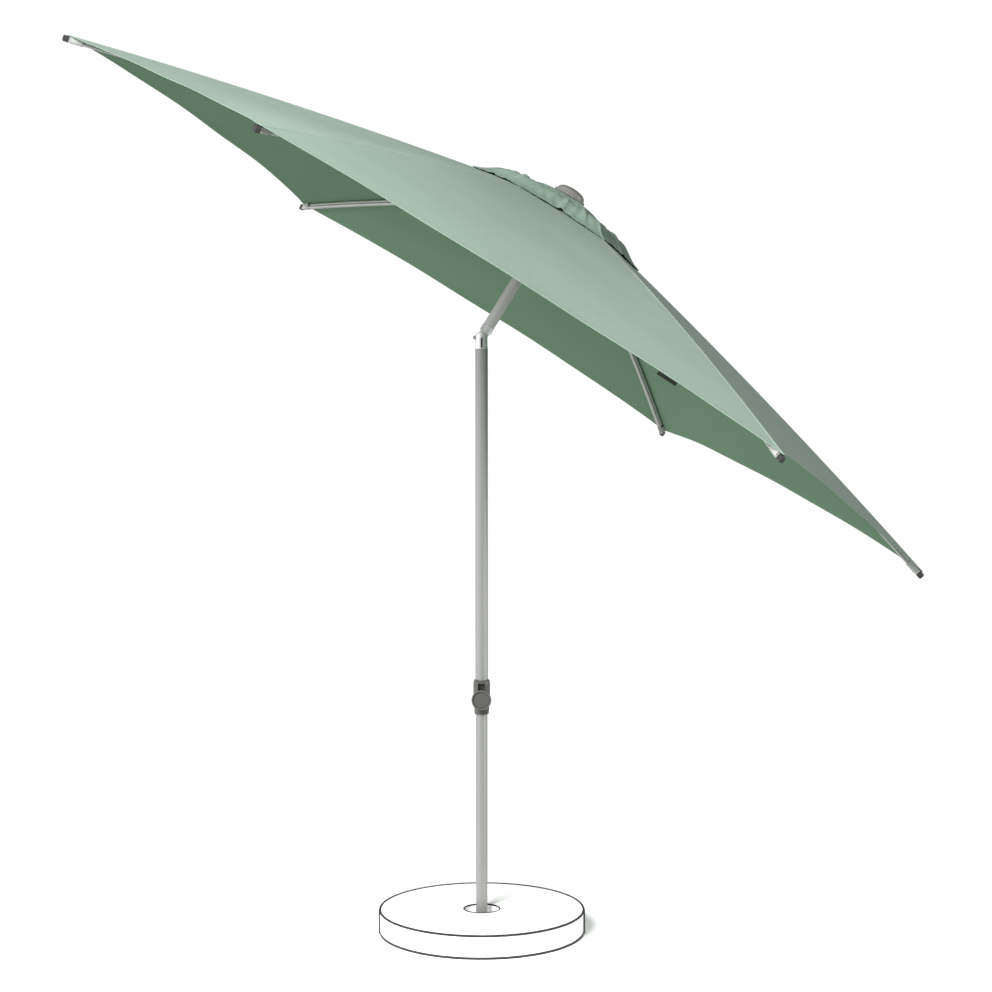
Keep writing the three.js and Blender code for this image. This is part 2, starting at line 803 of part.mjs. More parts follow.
function buildCloth() {
  const main = gore(mainCloth, 6, 8);
  const vent = gore(ventCloth, ventSteps, 6);
  const pieces = [];
  for (let i = 0; i < ribCount; i += 1) {
    const set = group(
      mesh(`canopy_gore_${i + 1}`, main, cloth),
      mesh(`vent_gore_${i + 1}`, vent, cloth),
    );
    set.rotation.z = ribAngle(i);
    pieces.push(set);
  }
  return group(...pieces, tieStrap());
}

// A short closing strap sewn inside the hem of the last gore, hanging just below it.
function tieStrap() {
  const [length, height, thickness] = [54, 9, 1.6];
  const place = -0.42; // across the gore
  const reach = 0.01;
  const middle = new THREE.Vector3(...mainCloth(1, place));
  const along = new THREE.Vector3(...mainCloth(1, place + reach))
    .sub(new THREE.Vector3(...mainCloth(1, place - reach)))
    .normalize();
  const inward = new THREE.Vector3(0, 0, 1).cross(along).normalize();
  const up = along.clone().cross(inward);
  const lie = new THREE.Matrix4().makeBasis(along, inward, up);
  const inset = 4;
  const drop = clothThickness + gap + height / 2;
  lie.setPosition(middle.addScaledVector(inward, inset).addScaledVector(up, -drop));
  const strap = new THREE.BoxGeometry(length, thickness, height).applyMatrix4(lie);
  const holder = group(mesh("tie_strap", solid(strap), blackPlastic));
  holder.rotation.z = ribAngle(ribCount - 1);
  return holder;
}

// ---------------------------------------------------------------- assembly

const canopy = group(buildKnuckle(), buildMast(), buildRunner(), buildRibs(), buildCloth());
canopy.position.z = tiltHeight;
canopy.rotation.y = tiltAngle;

export default group(buildBase(), buildLowerPole(), buildUpperPole(), canopy);
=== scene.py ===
"""Looks of the tilting patio umbrella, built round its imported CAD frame. Metres, in the row's frame."""
import json
import math

import bpy
import numpy as np
from mathutils import Matrix, Vector


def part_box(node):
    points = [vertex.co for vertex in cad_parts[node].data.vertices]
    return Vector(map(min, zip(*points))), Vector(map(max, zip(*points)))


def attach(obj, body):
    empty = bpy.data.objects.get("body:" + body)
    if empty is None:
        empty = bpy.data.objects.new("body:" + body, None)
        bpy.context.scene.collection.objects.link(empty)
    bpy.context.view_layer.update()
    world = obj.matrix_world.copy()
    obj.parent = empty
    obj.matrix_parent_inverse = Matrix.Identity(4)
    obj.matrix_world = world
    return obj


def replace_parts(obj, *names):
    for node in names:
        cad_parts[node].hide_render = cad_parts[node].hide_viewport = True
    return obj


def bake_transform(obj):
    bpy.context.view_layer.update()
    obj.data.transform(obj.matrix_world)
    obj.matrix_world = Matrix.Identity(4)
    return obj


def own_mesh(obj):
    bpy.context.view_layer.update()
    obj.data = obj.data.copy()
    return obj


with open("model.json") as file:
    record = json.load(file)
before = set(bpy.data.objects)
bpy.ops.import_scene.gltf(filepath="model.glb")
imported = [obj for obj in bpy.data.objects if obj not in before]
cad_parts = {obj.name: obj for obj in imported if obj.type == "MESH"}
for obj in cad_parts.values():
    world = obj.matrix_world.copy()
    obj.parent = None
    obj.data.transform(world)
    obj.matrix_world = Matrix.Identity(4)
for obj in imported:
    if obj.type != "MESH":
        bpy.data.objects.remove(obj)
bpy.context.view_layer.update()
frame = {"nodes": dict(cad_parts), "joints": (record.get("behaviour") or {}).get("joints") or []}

# -------- measures, from the frame

RIBS = 6
MM = 0.001
joints = {j["name"]: j for j in frame["joints"]}
tilt_pin = Vector(joints["tilt"]["pos_m"])
mast_up = -Vector(joints["runner_slide"]["axis"]).normalized()

# The canopy's curve over a rib, as the CAD has it.
APEX = 471.1 * MM
CANOPY_R = 1500 * MM
CANOPY_DROP = 366.6 * MM
CANOPY_BEND = 0.1922

HEM = 1490 * MM
HEM_SCOOP = 95 * MM
HEM_CURVE = 2.6
VENT_OPENING = 190 * MM
VENT_HEM = 290 * MM
VENT_SCOOP = 14 * MM


def rib_frame(i):
    """Rib i's own axes: X outwards, Y along the hinge, Z up the mast, from the tilt pin."""
    tangent = Vector(joints[f"rib_{i}_fold"]["axis"]).normalized()
    outward = tangent.cross(mast_up)
    return columns(outward, tangent, mast_up, tilt_pin)


def columns(x, y, z, origin):
    """The matrix with these axes and this origin."""
    m = Matrix((x, y, z)).transposed().to_4x4()
    m.translation = origin
    return m


mast_frame = rib_frame(1)

def new_object(name, data):
    """An object in the scene."""
    made = bpy.data.objects.new(name, data)
    bpy.context.scene.collection.objects.link(made)
    return made


def new_mesh(name, verts, faces, place=None):
    """A mesh from points and faces, moved to its place."""
    mesh = bpy.data.meshes.new(name)
    mesh.from_pydata([tuple(v) for v in verts], [], faces)
    if place is not None:
        mesh.transform(place)
    return mesh


# -------- camera, floor and light

CAMERA_PLACE = (-0.6008, -6.8807, 1.8994)
CAMERA_PITCH = 85.19  # degrees up from straight down
CAMERA_YAW = -5.345
CAMERA_LENS = 84.68

LOW_LIGHT = 1.45  # the studio's light from the horizon, at the left
TOP_LIGHT = 0.3  # and from above, at the left
FRONT_SHARE = 0.36  # what share of that comes from before and behind
RIGHT_SHARE = 0.74  # and from the right
RIGHT_TINT = (0.93, 1.0, 0.955)  # a faint green, for the cloth's shaded side
BACKDROP = 1.05  # the backdrop's brightness to the camera
FLOOR_GLOW = 0.2
FLOOR_HALF = 6
FLOOR_DROP = 0.2 * MM  # keeps the floor just clear of the foot mat
FLOOR_FADE = (0.32, 0.6)  # from the base's middle, where the floor fades into the backdrop


def make_camera():
    data = bpy.data.cameras.new("camera")
    data.lens = CAMERA_LENS
    data.sensor_width = 36
    data.clip_end = 200
    camera = new_object("camera", data)
    camera.location = CAMERA_PLACE
    camera.rotation_euler = (math.radians(CAMERA_PITCH), 0, math.radians(CAMERA_YAW))
    bpy.context.scene.camera = camera


def make_world():
    """White to the camera. As light, a studio: brightest low down at the left, dimmest in front."""
    world = bpy.data.worlds.new("studio")
    bpy.context.scene.world = world
    world.use_nodes = True
    tree = world.node_tree
    tree.nodes.clear()
    out = tree.nodes.new("ShaderNodeOutputWorld")
    direction = node(tree, "TexCoord").outputs["Generated"]
    split = node(tree, "SeparateXYZ", [("Vector", direction)])
    height = ranged_between(tree, split.outputs["Z"], (0.0, 0.5), (LOW_LIGHT, TOP_LIGHT))
    left = ranged_between(tree, split.outputs["X"], (-0.9, -0.2), (1.0, FRONT_SHARE))
    right = ranged_between(tree, split.outputs["X"], (0.2, 0.9), (FRONT_SHARE, RIGHT_SHARE))
    sides = math_node(tree, "MAXIMUM", left, right)
    light = node(tree, "Background", [("Strength", math_node(tree, "MULTIPLY", height, sides))])
    rightness = ranged_between(tree, split.outputs["X"], (0.0, 0.6), (0.0, 1.0))
    tree.links.new(mixed(tree, rightness, (1, 1, 1), RIGHT_TINT), light.inputs["Color"])
    backdrop = node(tree, "Background", Strength=BACKDROP)
    backdrop.inputs["Color"].default_value = (1, 1, 1, 1)
    mix = tree.nodes.new("ShaderNodeMixShader")
    tree.links.new(node(tree, "LightPath").outputs["Is Camera Ray"], mix.inputs["Fac"])
    tree.links.new(light.outputs[0], mix.inputs[1])
    tree.links.new(backdrop.outputs[0], mix.inputs[2])
    tree.links.new(mix.outputs[0], out.inputs["Surface"])


def softbox(name, place, aim, size, power, lights=True, shines=True):
    """A square lamp. One that doesn't shine leaves no highlight; one that doesn't light only shines."""
    data = bpy.data.lights.new(name, "AREA")
    data.size = size
    data.energy = power
    lamp = new_object(name, data)
    lamp.visible_glossy = shines
    lamp.visible_diffuse = lights
    lamp.location = place
    lamp.rotation_euler = (Vector(aim) - Vector(place)).to_track_quat("-Z", "Y").to_euler()


def make_floor():
    """A white floor that fades out into the white backdrop."""
    signs = [(-1, -1), (1, -1), (1, 1), (-1, 1)]
    corners = [(x * FLOOR_HALF, y * FLOOR_HALF, -FLOOR_DROP) for x, y in signs]
    floor = new_object("floor", new_mesh("floor", corners, [(0, 1, 2, 3)]))
    mat, tree, shader = new_material("floor_white", (0.97, 0.97, 0.97), 0.9)
    away = node(tree, "VectorMath", [(0, object_space(tree))], operation="LENGTH").outputs["Value"]
    feed(shader, "Alpha", ranged_between(tree, away, FLOOR_FADE, (1.0, 0.0)))
    shader.inputs["Emission Color"].default_value = (1, 1, 1, 1)
    shader.inputs["Emission Strength"].default_value = FLOOR_GLOW
    floor.data.materials.append(mat)


# -------- material helpers


def new_material(name, color, roughness, metallic=0.0, **sockets):
    mat = bpy.data.materials.new(name)
    mat.use_nodes = True
    tree = mat.node_tree
    shader = tree.nodes["Principled BSDF"]
    shader.inputs["Base Color"].default_value = (*color, 1)
    shader.inputs["Roughness"].default_value = roughness
    shader.inputs["Metallic"].default_value = metallic
    for socket, value in sockets.items():
        shader.inputs[socket.replace("_", " ")].default_value = value
    return mat, tree, shader


def scaled(colour, factor):
    return tuple(min(1.0, factor * c) for c in colour)


def feed(shader, socket, output):
    """Links an output to one of the shader's sockets."""
    shader.id_data.links.new(output, shader.inputs[socket])


def node(tree, kind, links=(), **values):
    """A node with its settings and sockets set, and its inputs linked as (input, output) pairs."""
    made = tree.nodes.new("ShaderNode" + kind)
    for key, value in values.items():
        if hasattr(made, key):
            setattr(made, key, value)
        else:
            made.inputs[key.replace("_", " ")].default_value = value
    for socket, source in links:
        tree.links.new(source, made.inputs[socket])
    return made


def math_node(tree, operation, a, b=None):
    made = tree.nodes.new("ShaderNodeMath")
    made.operation = operation
    for i, value in enumerate((a, b)):
        if value is None:
            continue
        if isinstance(value, (int, float)):
            made.inputs[i].default_value = value
        else:
            tree.links.new(value, made.inputs[i])
    return made.outputs[0]


def band(tree, value, middle, half_width):
    """1 where value is within half_width of middle, else 0."""
    away = math_node(tree, "ABSOLUTE", math_node(tree, "SUBTRACT", value, middle))
    return math_node(tree, "LESS_THAN", away, half_width)


def mixed(tree, factor, low, high):
    """Colour low to high by factor. A colour can be a tuple or an output."""
    mix = tree.nodes.new("ShaderNodeMix")
    mix.data_type = "RGBA"
    tree.links.new(factor, mix.inputs["Factor"])
    for socket, colour in ((mix.inputs[6], low), (mix.inputs[7], high)):
        if isinstance(colour, tuple):
            socket.default_value = (*colour, 1)
        else:
            tree.links.new(colour, socket)
    return mix.outputs[2]


def noise(tree, coordinates, scale, detail=3.0, stretch=None):
    if stretch:
        mapping = node(tree, "Mapping", [("Vector", coordinates)], Scale=stretch)
        coordinates = mapping.outputs[0]
    made = node(tree, "TexNoise", [("Vector", coordinates)], Scale=scale, Detail=detail)
    return made.outputs["Fac"]


def bump(tree, shader, height, strength, distance):
    made = node(tree, "Bump", [("Height", height)], Strength=strength, Distance=distance)
    feed(shader, "Normal", made.outputs[0])


def ranged_between(tree, value, span, ends):
    """Value's span mapped onto the two ends, smoothly, and held beyond them."""
    made = node(tree, "MapRange", [("Value", value)], interpolation_type="SMOOTHSTEP")
    for socket, number in zip(("From Min", "From Max", "To Min", "To Max"), (*span, *ends)):
        made.inputs[socket].default_value = number
    return made.outputs[0]


def ranged(tree, value, low, high):
    """Value from 0..1 spread over low..high."""
    made = node(tree, "MapRange", [("Value", value)], To_Min=low, To_Max=high)
    return made.outputs[0]


def object_space(tree):
    return node(tree, "TexCoord").outputs["Object"]


# -------- materials

THREAD_PITCH = 1.1 * MM
STITCH_PITCH = 4.2 * MM
STITCH_GAP = 0.3  # the share of the pitch between one stitch and the next
SEAM_STITCHES = 3.6 * MM  # from the rib's middle to each row of stitches
HEM_STITCHES = 15 * MM  # from the hem's edge to its row
SEAM_THREAD = 0.9 * MM  # the stitches' widths
HEM_THREAD = 1.0 * MM
STITCH_HEIGHT = 0.15 * MM
CROWN_FADE = (0.1, 1.1)  # from the mast outwards, where the cloth goes from its painted crown shade to full


def dashes(tree, distance):
    """1 along each stitch, and 0 in the gap to the next."""
    share = math_node(tree, "FRACT", math_node(tree, "DIVIDE", distance, STITCH_PITCH))
    return math_node(tree, "GREATER_THAN", share, STITCH_GAP)


def stitch_rows(tree, along, across, from_hem, round_hem):
    """1 on the stitches: a row each side of the rib, and one round the hem."""
    seam = band(tree, math_node(tree, "ABSOLUTE", across), SEAM_STITCHES, SEAM_THREAD / 2)
    hem = band(tree, from_hem, HEM_STITCHES, HEM_THREAD / 2)
    on_seam = math_node(tree, "MULTIPLY", seam, dashes(tree, along))
    on_hem = math_node(tree, "MULTIPLY", hem, dashes(tree, round_hem))
    return math_node(tree, "MAXIMUM", on_seam, on_hem)


def weave_threads(tree, along, across):
    thread = 2 * math.pi / THREAD_PITCH
    warp = math_node(tree, "SINE", math_node(tree, "MULTIPLY", across, thread))
    weft = math_node(tree, "SINE", math_node(tree, "MULTIPLY", along, thread))
    return math_node(tree, "MULTIPLY", warp, weft)


def cloth_material(name, shade, dark, light, crown_shade=1.0):
    """Woven polyester, with its stitched seams and hem. UV 'weave' is metres along and across the
    rib; UV 'edge' is metres from the hem, and along it. The crown can be painted darker: painted shade."""
    mat, tree, shader = new_material(name, shade, 0.86)
    shader.inputs["Sheen Weight"].default_value = 0.02
    shader.inputs["Sheen Roughness"].default_value = 0.4
    shader.inputs["Specular IOR Level"].default_value = 0.08
    weave = node(tree, "UVMap", uv_map="weave").outputs[0]
    edge = node(tree, "UVMap", uv_map="edge").outputs[0]
    flat = node(tree, "SeparateXYZ", [("Vector", weave)])
    rim = node(tree, "SeparateXYZ", [("Vector", edge)])
    along, across = flat.outputs["X"], flat.outputs["Y"]
    from_hem, round_hem = rim.outputs["X"], rim.outputs["Y"]

    slub = noise(tree, weave, 60, 4, stretch=(1, 14, 1))
    cloud = noise(tree, weave, 2.2, 2)
    fine = math_node(tree, "MULTIPLY", slub, 0.35)
    broad = math_node(tree, "MULTIPLY", cloud, 0.65)
    threads = math_node(tree, "MULTIPLY", weave_threads(tree, along, across), 0.22)
    tone = math_node(tree, "ADD", math_node(tree, "ADD", fine, broad), threads)
    colour = mixed(tree, ranged(tree, tone, -0.6, 1.6), dark, light)
    # painted shade: the colour darkens towards the crown by the crown_shade factor
    painted_crown_shade = ranged_between(tree, along, CROWN_FADE, (crown_shade, 1.0))
    colour = node(tree, "VectorMath", [(0, colour), ("Scale", painted_crown_shade)], operation="SCALE").outputs[0]

    stitches = stitch_rows(tree, along, across, from_hem, round_hem)
    feed(shader, "Base Color", mixed(tree, stitches, colour, scaled(light, 1.35)))
    feed(shader, "Roughness", ranged(tree, slub, 0.78, 0.93))
    bump(tree, shader, stitches, 0.6, STITCH_HEIGHT)
    return mat


def tube_material(name, colour, roughness, metallic, grain=(1, 1, 0.02)):
    """Powder-coated or anodised aluminium tube with a faint drawn grain and a few rubs."""
    mat, tree, shader = new_material(name, colour, roughness, metallic)
    place = object_space(tree)
    drawn = noise(tree, place, 900, 3, stretch=grain)
    cloud = noise(tree, place, 9, 3)
    tone = math_node(tree, "MULTIPLY", math_node(tree, "ADD", drawn, cloud), 0.5)
    feed(shader, "Base Color", mixed(tree, tone, scaled(colour, 0.86), scaled(colour, 1.08)))
    feed(shader, "Roughness", ranged(tree, cloud, roughness - 0.08, roughness + 0.1))
    bump(tree, shader, drawn, 0.12, 0.2 * MM)
    return mat


def plastic_material(name, colour, roughness):
    """Moulded plastic: fine spark-eroded texture and slight shading from handling."""
    mat, tree, shader = new_material(name, colour, roughness)
    place = object_space(tree)
    grain = noise(tree, place, 1400, 2)
    cloud = noise(tree, place, 35, 3)
    feed(shader, "Base Color", mixed(tree, cloud, scaled(colour, 0.82), scaled(colour, 1.12)))
    feed(shader, "Roughness", ranged(tree, cloud, roughness - 0.1, roughness + 0.12))
    bump(tree, shader, grain, 0.35, 0.12 * MM)
    return mat


def chrome_material():
    """Polished metal with faint smears."""
    mat, tree, shader = new_material("joint_chrome", (0.72, 0.72, 0.72), 0.28, 0.75)
    place = object_space(tree)
    smear = noise(tree, place, 60, 4)
    feed(shader, "Roughness", ranged(tree, smear, 0.24, 0.36))
    bump(tree, shader, noise(tree, place, 220, 2), 0.05, 0.1 * MM)
    return mat


def steel_material():
    """Zinc-plated steel with its spangle."""
    mat, tree, shader = new_material("zinc_steel", (0.55, 0.56, 0.58), 0.36, 0.9)
    place = object_space(tree)
    spangle = noise(tree, place, 300, 3)
    feed(shader, "Base Color", mixed(tree, spangle, (0.42, 0.43, 0.46), (0.66, 0.66, 0.67)))
    feed(shader, "Roughness", ranged(tree, spangle, 0.25, 0.5))
    return mat


def base_material():
    """Fine concrete under a white coat: faint clouds, pin holes and a soft orange peel."""
    white = (0.9, 0.9, 0.89)
    mat, tree, shader = new_material("base_white", white, 0.5)
    # The coat glows a little: painted light, which washes out the shadows on the base's top.
    shader.inputs["Emission Color"].default_value = (1, 1, 1, 1)
    shader.inputs["Emission Strength"].default_value = 0.2
    place = object_space(tree)
    cloud = noise(tree, place, 7, 5)
    peel = noise(tree, place, 420, 2)
    pits = node(tree, "TexVoronoi", [("Vector", place)], Scale=150.0).outputs["Distance"]
    pit = math_node(tree, "LESS_THAN", pits, 0.055)
    coat = mixed(tree, cloud, (0.86, 0.86, 0.85), (0.93, 0.93, 0.92))
    feed(shader, "Base Color", mixed(tree, pit, coat, (0.72, 0.72, 0.7)))
    feed(shader, "Roughness", ranged(tree, cloud, 0.42, 0.6))
    height = math_node(tree, "SUBTRACT", math_node(tree, "MULTIPLY", peel, 0.3), pit)
    bump(tree, shader, height, 0.3, 0.3 * MM)
    return mat


def rubber_material():
    """Black rubber with a little dust."""
    mat, tree, shader = new_material("trim_rubber", (0.02, 0.02, 0.02), 0.7)
    place = object_space(tree)
    dust = noise(tree, place, 90, 4)
    colour = mixed(tree, dust, (0.012, 0.012, 0.012), (0.035, 0.035, 0.034))
    feed(shader, "Base Color", colour)
    bump(tree, shader, noise(tree, place, 1200, 2), 0.3, 0.15 * MM)
    return mat


def webbing_material():
    """Matt black webbing with a close rib."""
    mat, tree, shader = new_material("strap_webbing", (0.01, 0.012, 0.011), 0.9, Specular_IOR_Level=0.15)
    place = object_space(tree)
    ribbing = node(tree, "TexWave", [("Vector", place)], Scale=260.0, Distortion=0.4).outputs["Fac"]
    colour = mixed(tree, ribbing, (0.006, 0.007, 0.006), (0.016, 0.018, 0.016))
    feed(shader, "Base Color", colour)
    bump(tree, shader, ribbing, 0.5, 0.3 * MM)
    return mat


# The crown_shade factors paint shade onto the cloth near the crown.
cloth_top = cloth_material(
    "cloth_top", (0.256, 0.328, 0.277), (0.233, 0.303, 0.254), (0.279, 0.353, 0.3), crown_shade=0.82
)
# The vent cloth is the main cloth painted darker: painted shade.
vent_top_shaded = cloth_material(
    "vent_top_shaded", (0.15, 0.203, 0.165), (0.134, 0.183, 0.148), (0.166, 0.223, 0.182)
)
# The underside is the same cloth painted darker and greener: painted shade, with painted light coming
# through the cloth.
cloth_under_shaded = cloth_material(
    "cloth_under_shaded", (0.12, 0.203, 0.128), (0.109, 0.187, 0.116), (0.131, 0.219, 0.14), crown_shade=0.78
)
pocket_cloth = cloth_material(
    "pocket_cloth", (0.28, 0.29, 0.275), (0.255, 0.265, 0.25), (0.305, 0.315, 0.3)
)
pole_silver = tube_material("pole_silver", (0.32, 0.32, 0.315), 0.55, 0.6)
# The mast is the pole's tube painted lighter: painted light, against the canopy's shade over it.
mast_silver_lit = tube_material("mast_silver_lit", (0.53, 0.52, 0.51), 0.55, 0.6)
button_silver = plastic_material("button_silver", (0.26, 0.26, 0.26), 0.4)
rib_silver = tube_material("rib_silver", (0.5, 0.51, 0.49), 0.42, 0.7, (1, 1, 1))
clamp_grey = plastic_material("clamp_grey", (0.06, 0.06, 0.055), 0.45)
# A lighter grey for the ring on the knob's rim: a painted highlight.
rim_highlight_grey = plastic_material("rim_highlight_grey", (0.12, 0.12, 0.115), 0.4)
finial_grey = plastic_material("finial_grey", (0.125, 0.12, 0.115), 0.35)
black_plastic = plastic_material("black_plastic", (0.025, 0.025, 0.025), 0.5)
joint_chrome = chrome_material()
zinc_steel = steel_material()
base_white = base_material()
trim_rubber = rubber_material()
strap_webbing = webbing_material()

# -------- mesh helpers


def add_piece(name, verts, faces, material, body, place=None, angle=32, slot=None):
    """A shown piece from points in a local frame, put in the row's frame and made to ride a body."""
    mesh = new_mesh(name, verts, faces, place)
    mesh.validate()
    mesh.materials.append(material)
    piece = new_object(name, mesh)
    shade(mesh, angle)
    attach(piece, body)
    return piece


def shade(mesh, angle):
    mesh.shade_smooth()
    mesh.set_sharp_from_angle(angle=math.radians(angle))


def rounded(corners, radius, steps=5, closed=False):
    """A polyline with its corners rounded. A radius can be one value or one for each corner."""
    count = len(corners)
    radii = radius if isinstance(radius, (list, tuple)) else [radius] * count
    points = []
    for i, corner in enumerate(corners):
        ends = not closed and i in (0, count - 1)
        here = Vector(corner)
        if ends or radii[i] <= 0:
            points.append(tuple(here))
            continue
        before = Vector(corners[i - 1]) - here
        after = Vector(corners[(i + 1) % count]) - here
        reach = min(radii[i], before.length * 0.49, after.length * 0.49)
        start = here + before.normalized() * reach
        end = here + after.normalized() * reach
        for k in range(steps + 1):
            t = k / steps
            points.append(tuple(start * (1 - t) ** 2 + here * 2 * t * (1 - t) + end * t ** 2))
    return points


def lathe(profile, sides=96):
    """Points and faces of a body turned about Z, from (radius, height) points."""
    verts, faces, rings = [], [], []
    for r, z in profile:
        if r < 1e-7:
            rings.append([len(verts)])
            verts.append((0, 0, z))
            continue
        rings.append(list(range(len(verts), len(verts) + sides)))
        for k in range(sides):
            turn = 2 * math.pi * k / sides
            verts.append((r * math.cos(turn), r * math.sin(turn), z))
    for low, high in zip(rings, rings[1:]):
        for k in range(sides):
            n = (k + 1) % sides
            quad = [low[k % len(low)], low[n % len(low)], high[n % len(high)], high[k % len(high)]]
            face = list(dict.fromkeys(quad))
            if len(face) > 2:
                faces.append(face)
    return verts, faces


def ring_profile(inner, outer, low, high, radius):
    """A closed ring's section, with soft corners, for lathe()."""
    corners = [(inner, low), (outer, low), (outer, high), (inner, high)]
    points = rounded(corners, radius, closed=True)
    return points + points[:1]


def weld_repeats(piece):
    """Merges the points that a closed section repeats."""
    weld = piece.modifiers.new("weld", "WELD")
    weld.merge_threshold = 1e-6
    bake(piece)


def bake(piece):
    """Applies the piece's modifiers."""
    graph = bpy.context.evaluated_depsgraph_get()
    mesh = bpy.data.meshes.new_from_object(piece.evaluated_get(graph))
    piece.modifiers.clear()
    piece.data = mesh


def round_section(middle, height, thick, steps):
    """A closed circle of points, for lathe() to turn into a ring of round stock."""
    circle = []
    for k in range(steps + 1):
        turn = 2 * math.pi * (k % steps) / steps
        circle.append((middle + thick * math.cos(turn), height + thick * math.sin(turn)))
    return circle


def turned_piece(name, profile, material, body, place=None, slot=None, sides=96, angle=32):
    """A shown piece turned from a profile, which is closed where it ends on its first point."""
    verts, faces = lathe(profile, sides)
    piece = add_piece(name, verts, faces, material, body, place, angle, slot)
    if profile[0] == profile[-1]:
        weld_repeats(piece)
        shade(piece.data, angle)
    return piece


def square_on(point, ahead, section):
    """A section of (across, up) points set square on a line that runs ahead in the XZ plane."""
    return [(point.x - ahead.z * up, y, point.z + ahead.x * up) for y, up in section]


def bar_faces(rings, sides):
    """The faces of a solid bar whose points come in rings, one ring after the other."""
    faces = []
    for i in range(rings - 1):
        for j in range(sides):
            a, b = i * sides + j, i * sides + (j + 1) % sides
            faces.append((a, a + sides, b + sides, b))
    last = sides * (rings - 1)
    faces.append(tuple(range(sides)))
    faces.append(tuple(last + j for j in reversed(range(sides))))
    return faces


def sweep(section, line):
    """Points and faces of a section swept along a line in the XZ plane."""
    verts = []
    for i, point in enumerate(line):
        ahead = (line[min(i + 1, len(line) - 1)] - line[max(i - 1, 0)]).normalized()
        verts += square_on(point, ahead, section)
    return verts, bar_faces(len(line), len(section))


def carve(piece, *cutters, operation="DIFFERENCE"):
    """Cuts or joins plain helper objects, which are then thrown away."""
    for cutter in cutters:
        mod = piece.modifiers.new("carve", "BOOLEAN")
        mod.operation = operation
        mod.solver = "EXACT"
        mod.object = cutter
    bake(piece)
    for cutter in cutters:
        bpy.data.objects.remove(cutter)


def helper(verts, faces, place=None):
    """A plain object to cut or join with."""
    return new_object("helper", new_mesh("helper", verts, faces, place))


def block(x, y, z):
    """Points and faces of a box between each axis's pair of values."""
    verts = [(a, b, c) for a in x for b in y for c in z]
    faces = [(0, 1, 3, 2), (4, 6, 7, 5), (0, 4, 5, 1), (2, 3, 7, 6), (0, 2, 6, 4), (1, 5, 7, 3)]
    return verts, faces


def bevel(piece, width, segments, angle):
    """Rounds the piece's edges that are sharper than the angle."""
    mod = piece.modifiers.new("edges", "BEVEL")
    mod.width = width
    mod.segments = segments
    mod.limit_method = "ANGLE"
    mod.angle_limit = math.radians(angle)


def soften(piece, width, segments=2, angle=35):
    """Rounds a finished piece's sharp edges for good."""
    bevel(piece, width, segments, angle)
    bake(piece)
    shade(piece.data, 32)


# -------- cloth


def canopy_height(radius):
    """The cloth's height over a rib, up the mast from the tilt pin."""
    u = radius / CANOPY_R
    return APEX - CANOPY_DROP * ((1 - CANOPY_BEND) * u + CANOPY_BEND * u * u)


def smooth_step(low, high, value):
    """0 up to low, 1 from high, and a smooth rise between."""
    t = np.clip((value - low) / (high - low), 0, 1)
    return t * t * (3 - 2 * t)


HALF = math.pi / RIBS  # from a rib to the line midway to the next
CREASE = 9 * MM  # half the width over which the cloth bends across a rib


def across_gore(radius, w):
    """Local x, y of the straight line across a gore, from the rib (w 0) to midway (w 1 or -1)."""
    share = np.abs(w)
    middle = radius * math.cos(HALF)
    x = radius + share * (middle * math.cos(HALF) - radius)
    y = np.sign(w) * share * middle * math.sin(HALF)
    return x, y


def half_width_at(radius):
    """Half the width of a gore at this distance along its rib."""
    return radius * math.cos(HALF) * math.sin(HALF)


def between(w, radius):
    """0 over a rib to 1 midway, level there, and softened over the rib's own width."""
    soft = CREASE / half_width_at(radius)
    share = np.sqrt(w * w + soft * soft) - soft
    share = np.clip(share / (np.sqrt(1 + soft * soft) - soft), 0, 1)
    return 1 - (1 - share) ** 2


def panel_phase(i, w):
    """Each panel between two ribs has its own number, so that both of its gores ripple alike."""
    panel = np.where(w >= 0, i, (i - 2) % RIBS + 1)
    return panel * 1.7


def panel_side(w):
    """-1 at the panel's first rib, 0 midway, 1 at its second rib."""
    return np.where(w >= 0, np.abs(w) - 1, 1 - np.abs(w))


MAIN_SAG = 8.5 * MM  # how far the main cloth hangs midway, and how much that differs between panels
SAG_SPREAD = 1.5 * MM
SWELL = 1.6 * MM  # broad waves over a panel
PULL = 0.9 * MM  # short ripples where the cloth pulls at the ribs
HEM_WAVE = 1.2 * MM


def hem_radius(w):
    """The main cloth's edge: drawn in between the ribs, and out to a point at each rib's end."""
    return HEM - HEM_SCOOP * (1 - (1 - np.abs(w)) ** HEM_CURVE)


def main_surface(i, t, w):
    """The main cloth at share t of the way out and share w across: x, y, z, radius and hem radius."""
    hem = hem_radius(w)
    radius = VENT_OPENING + (hem - VENT_OPENING) * t
    x, y = across_gore(radius, w)
    share = between(w, radius)
    phase = panel_phase(i, w)
    side = panel_side(w)
    sag = (MAIN_SAG + SAG_SPREAD * np.sin(phase * 2.3)) * share * smooth_step(VENT_OPENING, 0.7, radius)
    swell = SWELL * np.sin(5.2 * radius + phase) * np.cos(2.1 * side + phase) * share
    near_rib = np.exp(-((1 - np.abs(side)) / 0.28)) * smooth_step(0.0, 0.12, np.abs(w))
    ripple = np.sin(38 * radius * (1 + 0.15 * side) + 3 * phase)
    pull = PULL * ripple * near_rib * smooth_step(VENT_OPENING, 0.4, radius)
    hem_wave = HEM_WAVE * np.sin(9 * side + phase) * share * smooth_step(1.25, 1.4, radius)
    return x, y, canopy_height(radius) - sag + swell + pull + hem_wave, radius, hem


